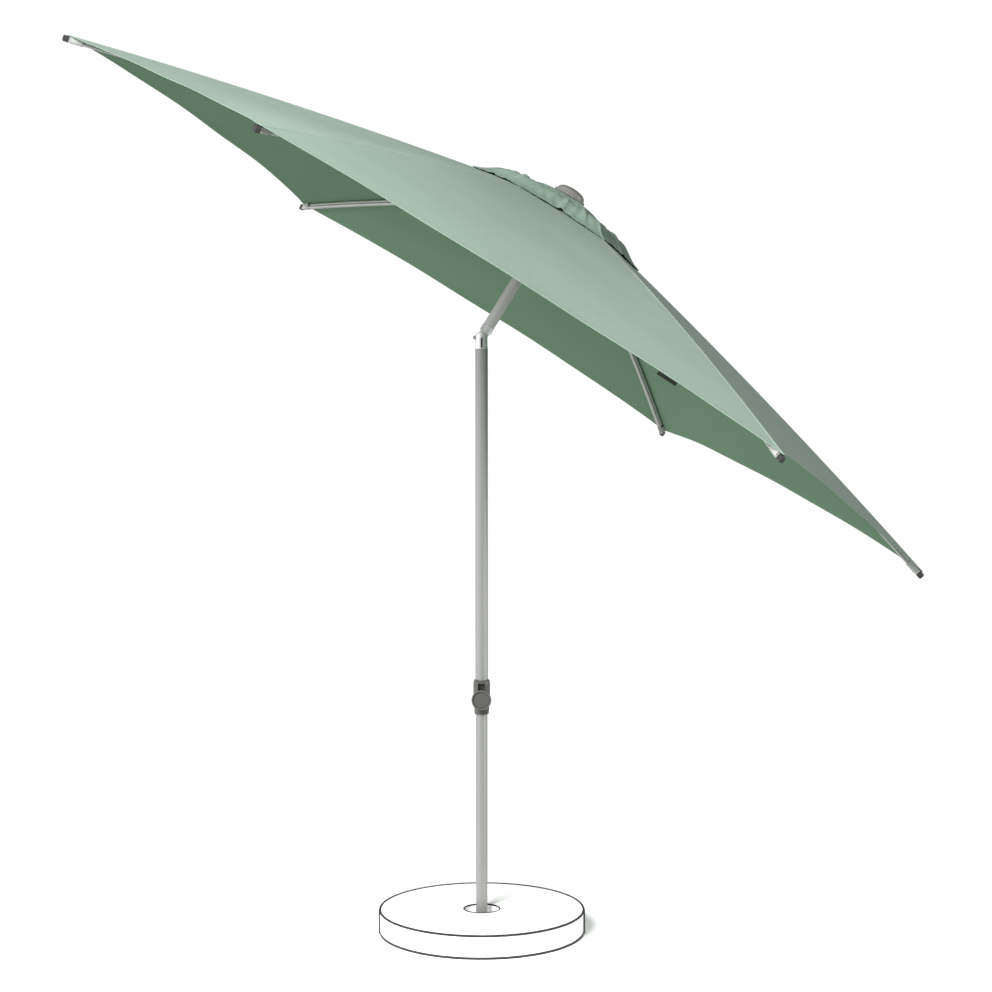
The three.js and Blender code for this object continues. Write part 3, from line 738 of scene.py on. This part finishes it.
CROWN_TOP = 486.0 * MM  # the vent cloth's height under the finial
VENT_HOLE = 7 * MM
VENT_FLAT = 46 * MM  # the finial holds it flat as far out as this
VENT_SETTLED = 160 * MM  # and from here it follows the ribs
VENT_GAP = 2.0 * MM  # between the vent cloth and the canopy at the vent's hem
VENT_SHOULDER = 15 * MM  # how far it stands above the canopy by the crown
SHOULDER_SPAN = (80 * MM, 250 * MM)  # where the shoulder falls away
VENT_PUFF = 24 * MM  # the height of the slack roll round it
VENT_ROLL = 210 * MM  # the roll's middle, from the mast
VENT_ROLL_WIDTH = 46 * MM
VENT_FOLD = 2.6 * MM
VENT_CREASE = 1.9 * MM
VENT_HEM_DRAW = 6 * MM  # how far each fold draws the hem in
VENT_HEM_WAVE = 3 * MM
PLEATS = (  # each fold's place across a panel, and half its width
    (0.12, 0.04), (0.29, 0.05), (0.45, 0.035), (0.6, 0.05), (0.74, 0.035), (0.88, 0.045),
)


def pleats(i, w):
    """Rounded folds that run out from the crown, at slightly different places in each panel."""
    phase = panel_phase(i, w)
    place = 0.5 + 0.5 * panel_side(w)
    height = np.zeros_like(w)
    for k, (middle, half_width) in enumerate(PLEATS):
        middle = middle + 0.05 * np.sin(phase * (k + 2))
        tall = 0.75 + 0.45 * np.sin(phase * 1.9 + 2.4 * k)
        height = height + tall * np.exp(-(((place - middle) / half_width) ** 2))
    return height


def rumple(i, radius, side):
    """Small irregular creases where the slack vent cloth is bunched up, -1 to 1 or so."""
    phase = panel_phase(i, side)
    across = side * radius / VENT_HEM
    first = np.sin(17 * across + 31 * radius + 2.1 * phase + 1.5 * np.sin(9 * side + phase))
    second = np.sin(29 * across - 43 * radius + 1.3 * phase + 1.2 * np.sin(61 * radius + phase))
    third = np.sin(23 * radius + 11 * side + phase) ** 3
    return 0.45 * first + 0.35 * second + 0.4 * third


def vent_lift(radius, puff):
    """How far the slack vent cloth stands above the ribs: a shoulder by the crown, then a roll."""
    shoulder = VENT_SHOULDER * (1 - smooth_step(*SHOULDER_SPAN, radius))
    roll = puff * np.exp(-(((radius - VENT_ROLL) / VENT_ROLL_WIDTH) ** 2))
    return shoulder + roll


def vent_surface(i, t, w):
    """The vent cloth, with the same arguments and results as main_surface()."""
    phase = panel_phase(i, w)
    side = panel_side(w)
    share = between(w, VENT_HEM)
    folds = pleats(i, w)
    hem_ripple = VENT_HEM_WAVE * np.sin(7 * side + 2 * phase) - VENT_HEM_DRAW * folds
    hem = VENT_HEM - VENT_SCOOP * share + hem_ripple * share
    radius = VENT_HOLE + (hem - VENT_HOLE) * t
    x, y = across_gore(radius, w)
    puff = VENT_PUFF * (1 + 0.22 * share * np.sin(3.1 * phase) + 0.12 * share * (folds - 0.5))
    on_rib = canopy_height(radius) + VENT_GAP + vent_lift(radius, puff)
    settled = smooth_step(VENT_FLAT, VENT_SETTLED, radius)
    share = between(w, np.maximum(radius, 0.03))
    open_span = np.clip((radius - VENT_FLAT) / (VENT_HEM - VENT_FLAT), 0, 1)
    loose = smooth_step(0.05, 0.5, open_span) * (1 - 0.85 * smooth_step(0.82, 1.0, open_span))
    fold = VENT_FOLD * (folds - 0.3) * share * loose
    crease = VENT_CREASE * rumple(i, radius, side) * (0.35 + 0.65 * share) * loose
    return x, y, CROWN_TOP + (on_rib - CROWN_TOP) * settled + fold + crease, radius, hem


def stations_across(count):
    """Places across a gore, from rib to midway: absolute metres close to the rib, then shares."""
    near = np.array([0, 1.6, 3.2, 4.6, 5.2, 5.8, 8, 11, 15]) * MM
    return near, np.linspace(0, 1, count + 1)[1:] ** 1.15


def stations_along(count, hem_length):
    """Places along a gore, close together at the two edges, as metres measured back from the hem."""
    fold = np.array([0, 0.5, 1.2, 2.4, 8, 15, 17, 18, 18.6, 24]) * MM / hem_length
    lead = np.array([0, 0.6, 1.6, 6, 11, 12, 20]) * MM / hem_length
    rest = np.linspace(lead[-1], 1 - fold[-1], count + 2)[1:-1]
    return np.concatenate([lead, rest, np.sort(1 - fold)])


def lay_out(mesh, label, values):
    """Adds a UV layer from one (u, v) for each point. The values repeat for a sheet's second face."""
    layer = mesh.uv_layers.new(name=label)
    loops = np.zeros(len(mesh.loops), int)
    mesh.loops.foreach_get("vertex_index", loops)
    layer.data.foreach_set("uv", values[loops % len(values)].astype(np.float32).ravel())


MAIN_MESH = (16, 34)  # a gore's points across from rib to midway, and along, besides those by its edges
VENT_MESH = (34, 40)
MAIN_THICK = 0.9 * MM
VENT_THICK = 0.8 * MM
DOUBLED = 0.45 * MM  # what the turned-in hem adds to each face
SEAM_RIDGE = 0.8 * MM
HEM_FOLD = 17.5 * MM  # the turned-in widths
LEAD_FOLD = 11.5 * MM
SEAM_EDGE = (4.8 * MM, 5.5 * MM)  # where the seam's ridge falls off, from the rib's middle


def gore_grid(length, half_width, mesh_size):
    """Shares out and across at every point of a gore's mesh."""
    across, along = mesh_size
    near, shares = stations_across(across)
    start = near[-1] / half_width
    ws = np.concatenate([near / half_width, start + (1 - start) * shares])
    ws = np.concatenate([-ws[:0:-1], ws])
    return np.meshgrid(stations_along(along, length), ws, indexing="ij")


def sheet_points(points, from_hem, from_inner, thick):
    """A sheet's top and under points: doubled at its hem and inner edge, with a ridge on the rib seam."""
    normal = np.cross(np.gradient(points, axis=0), np.gradient(points, axis=1))
    normal /= np.linalg.norm(normal, axis=-1, keepdims=True)
    extra = np.where((from_hem < HEM_FOLD) | (from_inner < LEAD_FOLD), DOUBLED, 0.0)
    low, high = SEAM_EDGE
    on_seam = np.clip((high - np.abs(points[..., 1])) / (high - low), 0, 1)
    rounding = np.clip(from_hem / (1.2 * MM), 0.25, 1)
    top = points + normal * (extra + on_seam * SEAM_RIDGE)[..., None]
    under = points - normal * ((thick + extra) * rounding)[..., None]
    return np.concatenate([top.reshape(-1, 3), under.reshape(-1, 3)])


def sheet_faces(rows, cols):
    """The faces of a two-sided sheet, and each one's material slot: 1 underneath, 0 elsewhere."""
    index = np.arange(rows * cols).reshape(rows, cols)
    lower = index + rows * cols
    faces, slots = [], []
    for r in range(rows - 1):
        for c in range(cols - 1):
            faces.append((index[r, c], index[r + 1, c], index[r + 1, c + 1], index[r, c + 1]))
            faces.append((lower[r, c], lower[r, c + 1], lower[r + 1, c + 1], lower[r + 1, c]))
            slots += [0, 1]
    for c in range(cols - 1):
        faces.append((index[0, c], index[0, c + 1], lower[0, c + 1], lower[0, c]))
        faces.append((index[-1, c + 1], index[-1, c], lower[-1, c], lower[-1, c + 1]))
    for r in range(rows - 1):
        faces.append((index[r + 1, 0], index[r, 0], lower[r, 0], lower[r + 1, 0]))
        faces.append((index[r, -1], index[r + 1, -1], lower[r + 1, -1], lower[r, -1]))
    slots += [0] * (len(faces) - len(slots))
    return [tuple(int(k) for k in face) for face in faces], slots


def make_gore(name, i, surface, length, half_width, mesh_size, thick, top_cloth):
    """One gore of cloth over rib i, from its inner edge out to its hem, length further along."""
    t, w = gore_grid(length, half_width, mesh_size)
    x, y, z, radius, hem = surface(i, t, w)
    from_hem = hem - radius
    verts = sheet_points(np.stack([x, y, z], -1), from_hem, t * length, thick)
    faces, slots = sheet_faces(*t.shape)
    mesh = new_mesh(name, verts.tolist(), faces, rib_frame(i))
    mesh.materials.append(top_cloth)
    mesh.materials.append(cloth_under_shaded)
    mesh.polygons.foreach_set("material_index", slots)
    lay_out(mesh, "weave", np.stack([radius.ravel(), y.ravel()], -1))
    lay_out(mesh, "edge", np.stack([from_hem.ravel(), y.ravel()], -1))
    shade(mesh, 50)
    return new_object(name, mesh)


def gore_area(inner, edge):
    """Flat area of a gore from an inner radius out to its edge, down the canopy's slope."""
    slope = math.hypot(1, CANOPY_DROP / CANOPY_R)
    w = np.linspace(0, 1, 101)
    return float(np.mean(edge(w) ** 2 - inner ** 2)) * math.cos(HALF) * math.sin(HALF) * slope


def make_main_gore(i):
    """A gore of the main cloth. It rides its rib."""
    length = HEM - VENT_OPENING
    gore = make_gore(
        f"canopy_cloth_{i}", i, main_surface, length, half_width_at(HEM), MAIN_MESH, MAIN_THICK, cloth_top
    )
    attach(gore, f"rib_{i}")
    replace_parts(gore, f"canopy_gore_{i}")
    area = gore_area(VENT_OPENING, hem_radius)
    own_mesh(gore)


def make_vent_gore(i):
    """A gore of the vent cloth. The finial holds it at the crown."""
    length = VENT_HEM - VENT_HOLE
    gore = make_gore(
        f"vent_cloth_{i}", i, vent_surface, length, half_width_at(length), VENT_MESH, VENT_THICK, vent_top_shaded
    )
    crown, edge = (rib_frame(i) @ Vector((reach, 0, APEX)) for reach in (VENT_FLAT, VENT_OPENING))
    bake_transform(gore)
    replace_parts(gore, f"vent_gore_{i}")
    area = gore_area(0, lambda w: VENT_HEM - VENT_SCOOP * w)


def make_cloth():
    for i in range(1, RIBS + 1):
        make_main_gore(i)
        make_vent_gore(i)


# -------- ribs

RIB_WIDTH = 13 * MM
RIB_DEPTH = 17 * MM
RIB_START = 62 * MM
RIB_END = 1482 * MM
TONGUE_START = 34 * MM
TONGUE_WIDTH = 5 * MM
TONGUE_DEPTH = 12 * MM
RIB_BELOW = 11.7 * MM  # rib centre line below the cloth's top face


def rib_centre(radius):
    """The rib's centre line, square below the cloth at this radius."""
    step = 1 * MM
    slope = (canopy_height(radius + step) - canopy_height(radius - step)) / (2 * step)
    across = math.hypot(1, slope)
    return Vector((radius + RIB_BELOW * slope / across, 0, canopy_height(radius) - RIB_BELOW / across))


def rib_line(start, end, steps):
    return [rib_centre(start + (end - start) * k / steps) for k in range(steps + 1)]


def grooved_section(width, depth, radius, groove):
    """A rounded box section with a shallow groove down each side."""
    w, d = width / 2, depth / 2
    half = 2.2 * MM
    corners = [
        (-w, -d), (w, -d),
        (w, -half), (w - groove, -half + groove), (w - groove, half - groove), (w, half),
        (w, d), (-w, d),
        (-w, half), (-w + groove, half - groove), (-w + groove, -half + groove), (-w, -half),
    ]
    big, small = radius, 0.3 * MM
    radii = [big, big, small, small, small, small, big, big, small, small, small, small]
    return rounded(corners, radii, steps=3, closed=True)


def box_section(width, depth, radius, steps=4):
    w, d = width / 2, depth / 2
    return rounded([(-w, -d), (w, -d), (w, d), (-w, d)], radius, steps=steps, closed=True)


def make_ribs():
    """Each rib: a grooved tube, the tongue that hinges in the crown hub, an end cap and a cloth pocket."""
    section = grooved_section(RIB_WIDTH, RIB_DEPTH, 3.2 * MM, 1.1 * MM)
    tongue = box_section(TONGUE_WIDTH, TONGUE_DEPTH, 0.8 * MM, steps=5)
    for i in range(1, RIBS + 1):
        body = f"rib_{i}"
        place = rib_frame(i)
        verts, faces = sweep(section, rib_line(RIB_START, RIB_END, 40))
        rib = add_piece(f"rib_tube_{i}", verts, faces, rib_silver, body, place, 40, "rib_silver")
        verts, faces = sweep(tongue, rib_line(TONGUE_START, RIB_START + 4 * MM, 4))
        add_piece(f"rib_tongue_{i}", verts, faces, rib_silver, body, place, 40, "rib_silver")
        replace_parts(rib, f"rib_{i}")
        make_rib_tip(i, place)
        make_pocket(i, place)


# The end cap, as (mm past the rib's end, mm wider and deeper than the rib): a collar, then a nose.
TIP_PROFILE = [(0.0, 1.0), (1.0, 1.5), (2.0, 1.6), (12, 1.5), (15.5, 1.0), (17.3, -1.2), (18, -4.5)]


def make_rib_tip(i, place):
    """A moulded end cap: a collar over the rib, then a rounded nose."""
    verts = []
    for offset, grow in TIP_PROFILE:
        middle = rib_centre(RIB_END + offset * MM)
        ahead = (rib_centre(RIB_END + (offset + 1) * MM) - middle).normalized()
        section = box_section(RIB_WIDTH + grow * MM, RIB_DEPTH + grow * MM, (3.5 + max(0, -grow)) * MM)
        verts += square_on(middle, ahead, section)
    faces = bar_faces(len(TIP_PROFILE), len(section))
    tip = add_piece(f"rib_cap_{i}", verts, faces, black_plastic, f"rib_{i}", place, 45, "black_plastic")
    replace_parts(tip, f"rib_tip_{i}")


POCKET_START = HEM - 50 * MM
POCKET_END = HEM - 14 * MM
POCKET_THICK = 0.9 * MM
POCKET_SPACE = 1.2 * MM  # between the rib and the pocket
POCKET_STEPS = 10
POCKET_ARC = 12


def pocket_arc(layer, flare):
    """Half a turn round the rib's underside, as (across, up) points, open at the top."""
    points = []
    for k in range(POCKET_ARC + 1):
        turn = math.pi * k / POCKET_ARC
        side, down = math.cos(turn), math.sin(turn)
        widen = 1 + (flare if abs(side) > 0.9 else 0.2 * flare)
        across = (RIB_WIDTH / 2 + POCKET_SPACE + layer) * side * widen
        depth = RIB_DEPTH + 2 * POCKET_SPACE + layer
        points.append((across, RIB_DEPTH / 2 + POCKET_SPACE - depth * down ** 0.6))
    return points


def make_pocket(i, place):
    """The sewn pocket that holds the cloth to the rib's end: a sleeve of doubled cloth under the rib."""
    verts = []
    for layer in (POCKET_THICK, 0.0):
        for s in range(POCKET_STEPS + 1):
            share = s / POCKET_STEPS
            radius = POCKET_START + (POCKET_END - POCKET_START) * share
            middle = rib_centre(radius)
            ahead = (rib_centre(radius + 1 * MM) - middle).normalized()
            verts += square_on(middle, ahead, pocket_arc(layer, 0.5 * (1 - share) ** 2))
    faces = sheet_faces(POCKET_STEPS + 1, POCKET_ARC + 1)[0]
    pocket = add_piece(f"tip_pocket_{i}", verts, faces, pocket_cloth, f"rib_{i}", place, 50, "cloth_green")
    flat = np.array([(v[0], v[1]) for v in verts])
    lay_out(pocket.data, "weave", flat)
    lay_out(pocket.data, "edge", flat + (0.1, 0))  # well away from the hem's stitches


# -------- poles and base

LOWER_TUBE = 17.25 * MM  # outer radii
UPPER_TUBE = 18.75 * MM
MAST_TUBE = 17.25 * MM
MAST_BORE = 15.75 * MM
MAST_SPAN = (39.4 * MM, 444.1 * MM)  # above the tilt pin
LOWER_BORE = 17.65 * MM  # the hole in parts that fit over the lower tube
WELL = 54 * MM
WELL_FLOOR = 24 * MM
SEAM_HEADINGS = (-9, 179)  # of the base's upright joints, in degrees


def pole(name, node_name, radius, wall, body):
    """A tube on the pole's axis, as long as its CAD node."""
    low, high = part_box(node_name)
    profile = ring_profile(radius - wall, radius, low.z, high.z, 0.5 * MM)
    piece = turned_piece(name, profile, pole_silver, body, slot="tube_silver")
    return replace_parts(piece, node_name)


def make_base():
    """The white disc with its well, its black trims and the mat it stands on."""
    low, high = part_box("ballast_disc")
    radius = high.x
    corners = [
        (0, low.z), (radius, low.z), (radius, high.z), (WELL, high.z), (WELL, WELL_FLOOR), (0, WELL_FLOOR),
    ]
    profile = rounded(corners, [0, 3 * MM, 4 * MM, 3 * MM, 4 * MM, 0], steps=6)
    disc = turned_piece("base_disc", profile, base_white, "base", slot="base_white", sides=192)
    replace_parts(disc, "ballast_disc")
    trims = (("rim_trim", "edge_bead", radius, 3.4 * MM), ("well_trim", "well_grommet", WELL, 2.4 * MM))
    for name, node_name, middle, thick in trims:
        bead = round_section(middle, high.z - 0.4 * MM, thick, 16)
        trim = turned_piece(name, bead, trim_rubber, "base", slot="trim_rubber", sides=192, angle=60)
        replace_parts(trim, node_name)
    make_shell_seams(radius, high.z)
    low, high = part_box("foot_mat")
    edge = radius + 1.5 * MM
    profile = rounded([(0, low.z), (edge, low.z), (edge, high.z), (0, high.z)], 1.2 * MM)
    mat = turned_piece("floor_mat", profile, trim_rubber, "base", slot="trim_rubber", sides=192)
    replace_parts(mat, "foot_mat")


def make_shell_seams(radius, top):
    """The black strips over the two upright joints in the base's side."""
    depth = (radius - 1 * MM, radius + 4.6 * MM)
    for heading in SEAM_HEADINGS:
        turn = Matrix.Rotation(math.radians(heading), 4, "Z")
        verts, faces = block(depth, (-6 * MM, 6 * MM), (1 * MM, top + 1.5 * MM))
        strip = add_piece("base_seam", verts, faces, trim_rubber, "base", turn, slot="trim_rubber")
        soften(strip, 0.8 * MM)


def make_poles():
    """The two tubes of the pole, the collar at its foot, and the mast above the tilt joint."""
    pole("lower_tube", "lower_pole", LOWER_TUBE, 1.8 * MM, "lower_pole")
    pole("upper_tube", "upper_pole", UPPER_TUBE, 1.1 * MM, "upper_pole")
    low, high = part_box("pole_foot_collar")
    profile = ring_profile(LOWER_BORE, high.x, low.z, high.z, 2.5 * MM)
    collar = turned_piece("foot_collar", profile, black_plastic, "lower_pole", slot="black_plastic")
    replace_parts(collar, "pole_foot_collar")
    profile = ring_profile(MAST_BORE, MAST_TUBE, *MAST_SPAN, 0.5 * MM)
    mast = turned_piece("mast", profile, mast_silver_lit, "mast", mast_frame, slot="tube_silver")
    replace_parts(mast, "mast_tube")


# -------- clamp

KNOB_HEIGHT = joints["clamp_knob_turn"]["pos_m"][2]
knob_axis = Vector(joints["clamp_knob_turn"]["axis"]).normalized()
knob_side = Vector((0, 0, 1)).cross(knob_axis)
clamp_frame = columns(knob_axis, knob_side, Vector((0, 0, 1)), Vector((0, 0, KNOB_HEIGHT)))
outwards = clamp_frame @ Matrix.Rotation(math.radians(90), 4, "Y")

UPPER_BORE = 19.1 * MM  # the hole in parts that fit over the upper tube
BORE_STEP = 28 * MM  # where the clamp's bore widens, above the knob's centre
WINDOW_HALF = 10 * MM
WINDOW_FOOT = 20 * MM
KNOB_RADIUS = 29.5 * MM
KNOB_BACK = 35.5 * MM  # the knob's back and face, from the pole's axis
KNOB_FACE = 57.5 * MM
KNOB_FLUTES = 24
FLUTE_DEPTH = 0.9 * MM
FLUTE_REACH = 1.5 * MM  # how far in from the edge a flute is felt


def clamp_shell(foot, head):
    """The section of the clamp's sleeve, between its foot and its head, from the knob's height."""
    corners = [
        (LOWER_BORE, foot), (21 * MM, foot), (24.8 * MM, -6 * MM), (25 * MM, head - 9 * MM),
        (22.8 * MM, head - 1.5 * MM), (20.5 * MM, head), (UPPER_BORE, head), (UPPER_BORE, BORE_STEP),
        (LOWER_BORE, BORE_STEP),
    ]
    radii = [0.4 * MM, 5 * MM, 20 * MM, 5 * MM, 2 * MM, 0.5 * MM, 0.4 * MM, 0, 0]
    section = rounded(corners, radii, steps=6, closed=True)
    return section + section[:1]


def make_clamp():
    """The clamp's sleeve with its boss, bridge and window, and the knob."""
    low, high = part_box("clamp_housing")
    foot, head = low.z - KNOB_HEIGHT, high.z - KNOB_HEIGHT
    body = turned_piece(
        "clamp_body", clamp_shell(foot, head), clamp_grey, "upper_pole", clamp_frame, slot="clamp_grey"
    )
    boss_corners = [(0, 20 * MM), (16 * MM, 20 * MM), (15 * MM, 33 * MM), (0, 33 * MM)]
    boss = helper(*lathe(rounded(boss_corners, 1.5 * MM), 64), outwards)
    bridge = helper(*block((18.2 * MM, 30 * MM), (-13 * MM, 13 * MM), (0, head - 5 * MM)), clamp_frame)
    window = (-WINDOW_HALF, WINDOW_HALF), (WINDOW_FOOT, head - 9 * MM)
    mouth = helper(*block((19.6 * MM, 45 * MM), *window), clamp_frame)
    carve(body, boss, bridge, operation="UNION")
    carve(body, mouth)
    soften(body, 1.2 * MM, 3, 40)
    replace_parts(body, "clamp_housing")
    # A black sheet at the window's floor: painted shade, darkening the recess.
    sheet = block((19.4 * MM, 20.6 * MM), *window)
    add_piece("clamp_window_shade", *sheet, trim_rubber, "upper_pole", clamp_frame, slot="clamp_grey")
    make_knob()


def knob_section():
    """The knob's profile: a hub, then the grip, and a domed face inside a raised rim."""
    corners = [
        (0, KNOB_BACK), (13 * MM, KNOB_BACK), (15.5 * MM, KNOB_BACK + 5 * MM),
        (KNOB_RADIUS, KNOB_BACK + 6.5 * MM), (KNOB_RADIUS, KNOB_FACE), (KNOB_RADIUS - 3.6 * MM, KNOB_FACE),
        (KNOB_RADIUS - 5.4 * MM, KNOB_FACE - 4.5 * MM), (0, KNOB_FACE - 2.2 * MM),
    ]
    radii = [0, 1 * MM, 1.5 * MM, 3 * MM, 1.7 * MM, 1.2 * MM, 0.6 * MM, 0]
    return rounded(corners, radii, steps=5)


def fluted(point):
    """A point of the knob's turned surface, drawn in where a finger flute passes."""
    x, y, z = point
    r = math.hypot(x, y)
    on_grip = KNOB_BACK + 7 * MM < z < KNOB_FACE - 2.2 * MM
    if not on_grip or r == 0:
        return point
    edge = max(0.0, (r - KNOB_RADIUS + FLUTE_REACH) / FLUTE_REACH)
    wave = (0.5 + 0.5 * math.cos(KNOB_FLUTES * math.atan2(y, x))) ** 3
    scale = 1 - FLUTE_DEPTH * wave * edge / r
    return x * scale, y * scale, z


def make_knob():
    """The clamp knob, with a painted highlight on its rim and painted shade in the groove round its face.
    """
    verts, faces = lathe(knob_section(), 240)
    moved = [fluted(point) for point in verts]
    knob = add_piece("knob", moved, faces, clamp_grey, "clamp_knob", outwards, 40, "clamp_grey")
    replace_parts(knob, "clamp_knob")
    # The light rim ring is a painted highlight; the black ring in the groove is painted shade.
    rings = (
        ("knob_rim_highlight", KNOB_RADIUS - 1.8 * MM, KNOB_FACE, 1.1 * MM, rim_highlight_grey),
        ("knob_groove_shade", KNOB_RADIUS - 5 * MM, KNOB_FACE - 4 * MM, 1.3 * MM, black_plastic),
    )
    for name, middle, height, thick, material in rings:
        section = round_section(middle, height, thick, 12)
        turned_piece(name, section, material, "clamp_knob", outwards, slot="clamp_grey", angle=60)


# -------- tilt joint

# A black strip standing for the shade in the tilt fork's groove: painted shade.
SHADE_STRIP_FOOT = 1758 * MM
SHADE_STRIP_HEADING = -5  # degrees


def make_fork_groove_shade():
    """A black strip in the groove down the front of the tilt fork: painted shade."""
    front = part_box("tilt_fork")[0].y
    depth = (front - 0.4 * MM, front + 2 * MM)
    verts, faces = block((-3 * MM, 3 * MM), depth, (SHADE_STRIP_FOOT, tilt_pin.z - 1 * MM))
    turn = Matrix.Rotation(math.radians(SHADE_STRIP_HEADING), 4, "Z")
    shade_strip = add_piece("fork_groove_shade", verts, faces, black_plastic, "upper_pole", turn, slot="black_plastic")
    soften(shade_strip, 0.5 * MM)


# -------- finial

FINIAL_DOME = 44.5 * MM
FINIAL_SKIRT = 50 * MM


def make_finial():
    """The cap on the crown: a low skirt that holds the vent cloth, and a flattened dome."""
    low = CROWN_TOP + 0.8 * MM
    top = APEX + 44.5 * MM
    step = low + 7.5 * MM
    spring = step + 3 * MM  # where the dome starts
    dome = []
    for k in range(1, 24):
        turn = math.pi / 2 * k / 24
        dome.append((FINIAL_DOME * math.cos(turn) ** 0.8, spring + (top - spring) * math.sin(turn)))
    dome.append((0, top))
    corners = [
        (0, low), (FINIAL_SKIRT - 1.5 * MM, low), (FINIAL_SKIRT, low + 2.5 * MM), (FINIAL_SKIRT, step),
        (FINIAL_DOME, step + 0.8 * MM), (FINIAL_DOME, spring),
    ]
    skirt = rounded(corners, [0, 1 * MM, 1 * MM, 2 * MM, 0.6 * MM, 0], steps=4)
    cap = turned_piece(
        "finial", skirt + dome, finial_grey, "mast", mast_frame, slot="finial_grey", sides=128
    )
    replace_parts(cap, "finial_cap")


# -------- CAD nodes that stay, with their finish

SPIGOT_BOLTS = [f"spigot_bolt_{i}" for i in (1, 2, 3)]
STRUTS = [f"strut_{i}" for i in range(1, RIBS + 1)]
FINISHES = {
    joint_chrome: ["tilt_fork", "tilt_knuckle"],
    zinc_steel: ["base_spigot", *SPIGOT_BOLTS, "tilt_pin", "clamp_screw", "finial_stud"],
    black_plastic: ["guide_bush", "clamp_pad", "crown_hub", "crown_plate", "runner", "runner_cap"],
    clamp_grey: ["runner_button"],
    button_silver: ["tilt_button"],
    rib_silver: STRUTS,
    strap_webbing: ["tie_strap"],
}


def dress_cad_nodes():
    """Gives the CAD nodes that are shown as they are their finish, and softens their edges."""
    for material, names in FINISHES.items():
        for name in names:
            piece = frame["nodes"][name]
            piece.data.materials.clear()
            piece.data.materials.append(material)
            bevel(piece, 0.5 * MM, 2, 40)
            shade(piece.data, 30)


# -------- assembly

make_camera()
make_world()
softbox("key", (-4.1, -6.8, 5.9), (0.0, 0, 1.6), 4.0, 2190, shines=False)
softbox("side strip", (5.0, -1.5, 1.2), (0.0, 0, 1.0), 2.5, 120, lights=False)
make_floor()
bpy.context.scene.view_settings.view_transform = "Standard"

make_base()
make_poles()
make_clamp()
make_fork_groove_shade()
make_finial()
make_ribs()
make_cloth()
dress_cad_nodes()
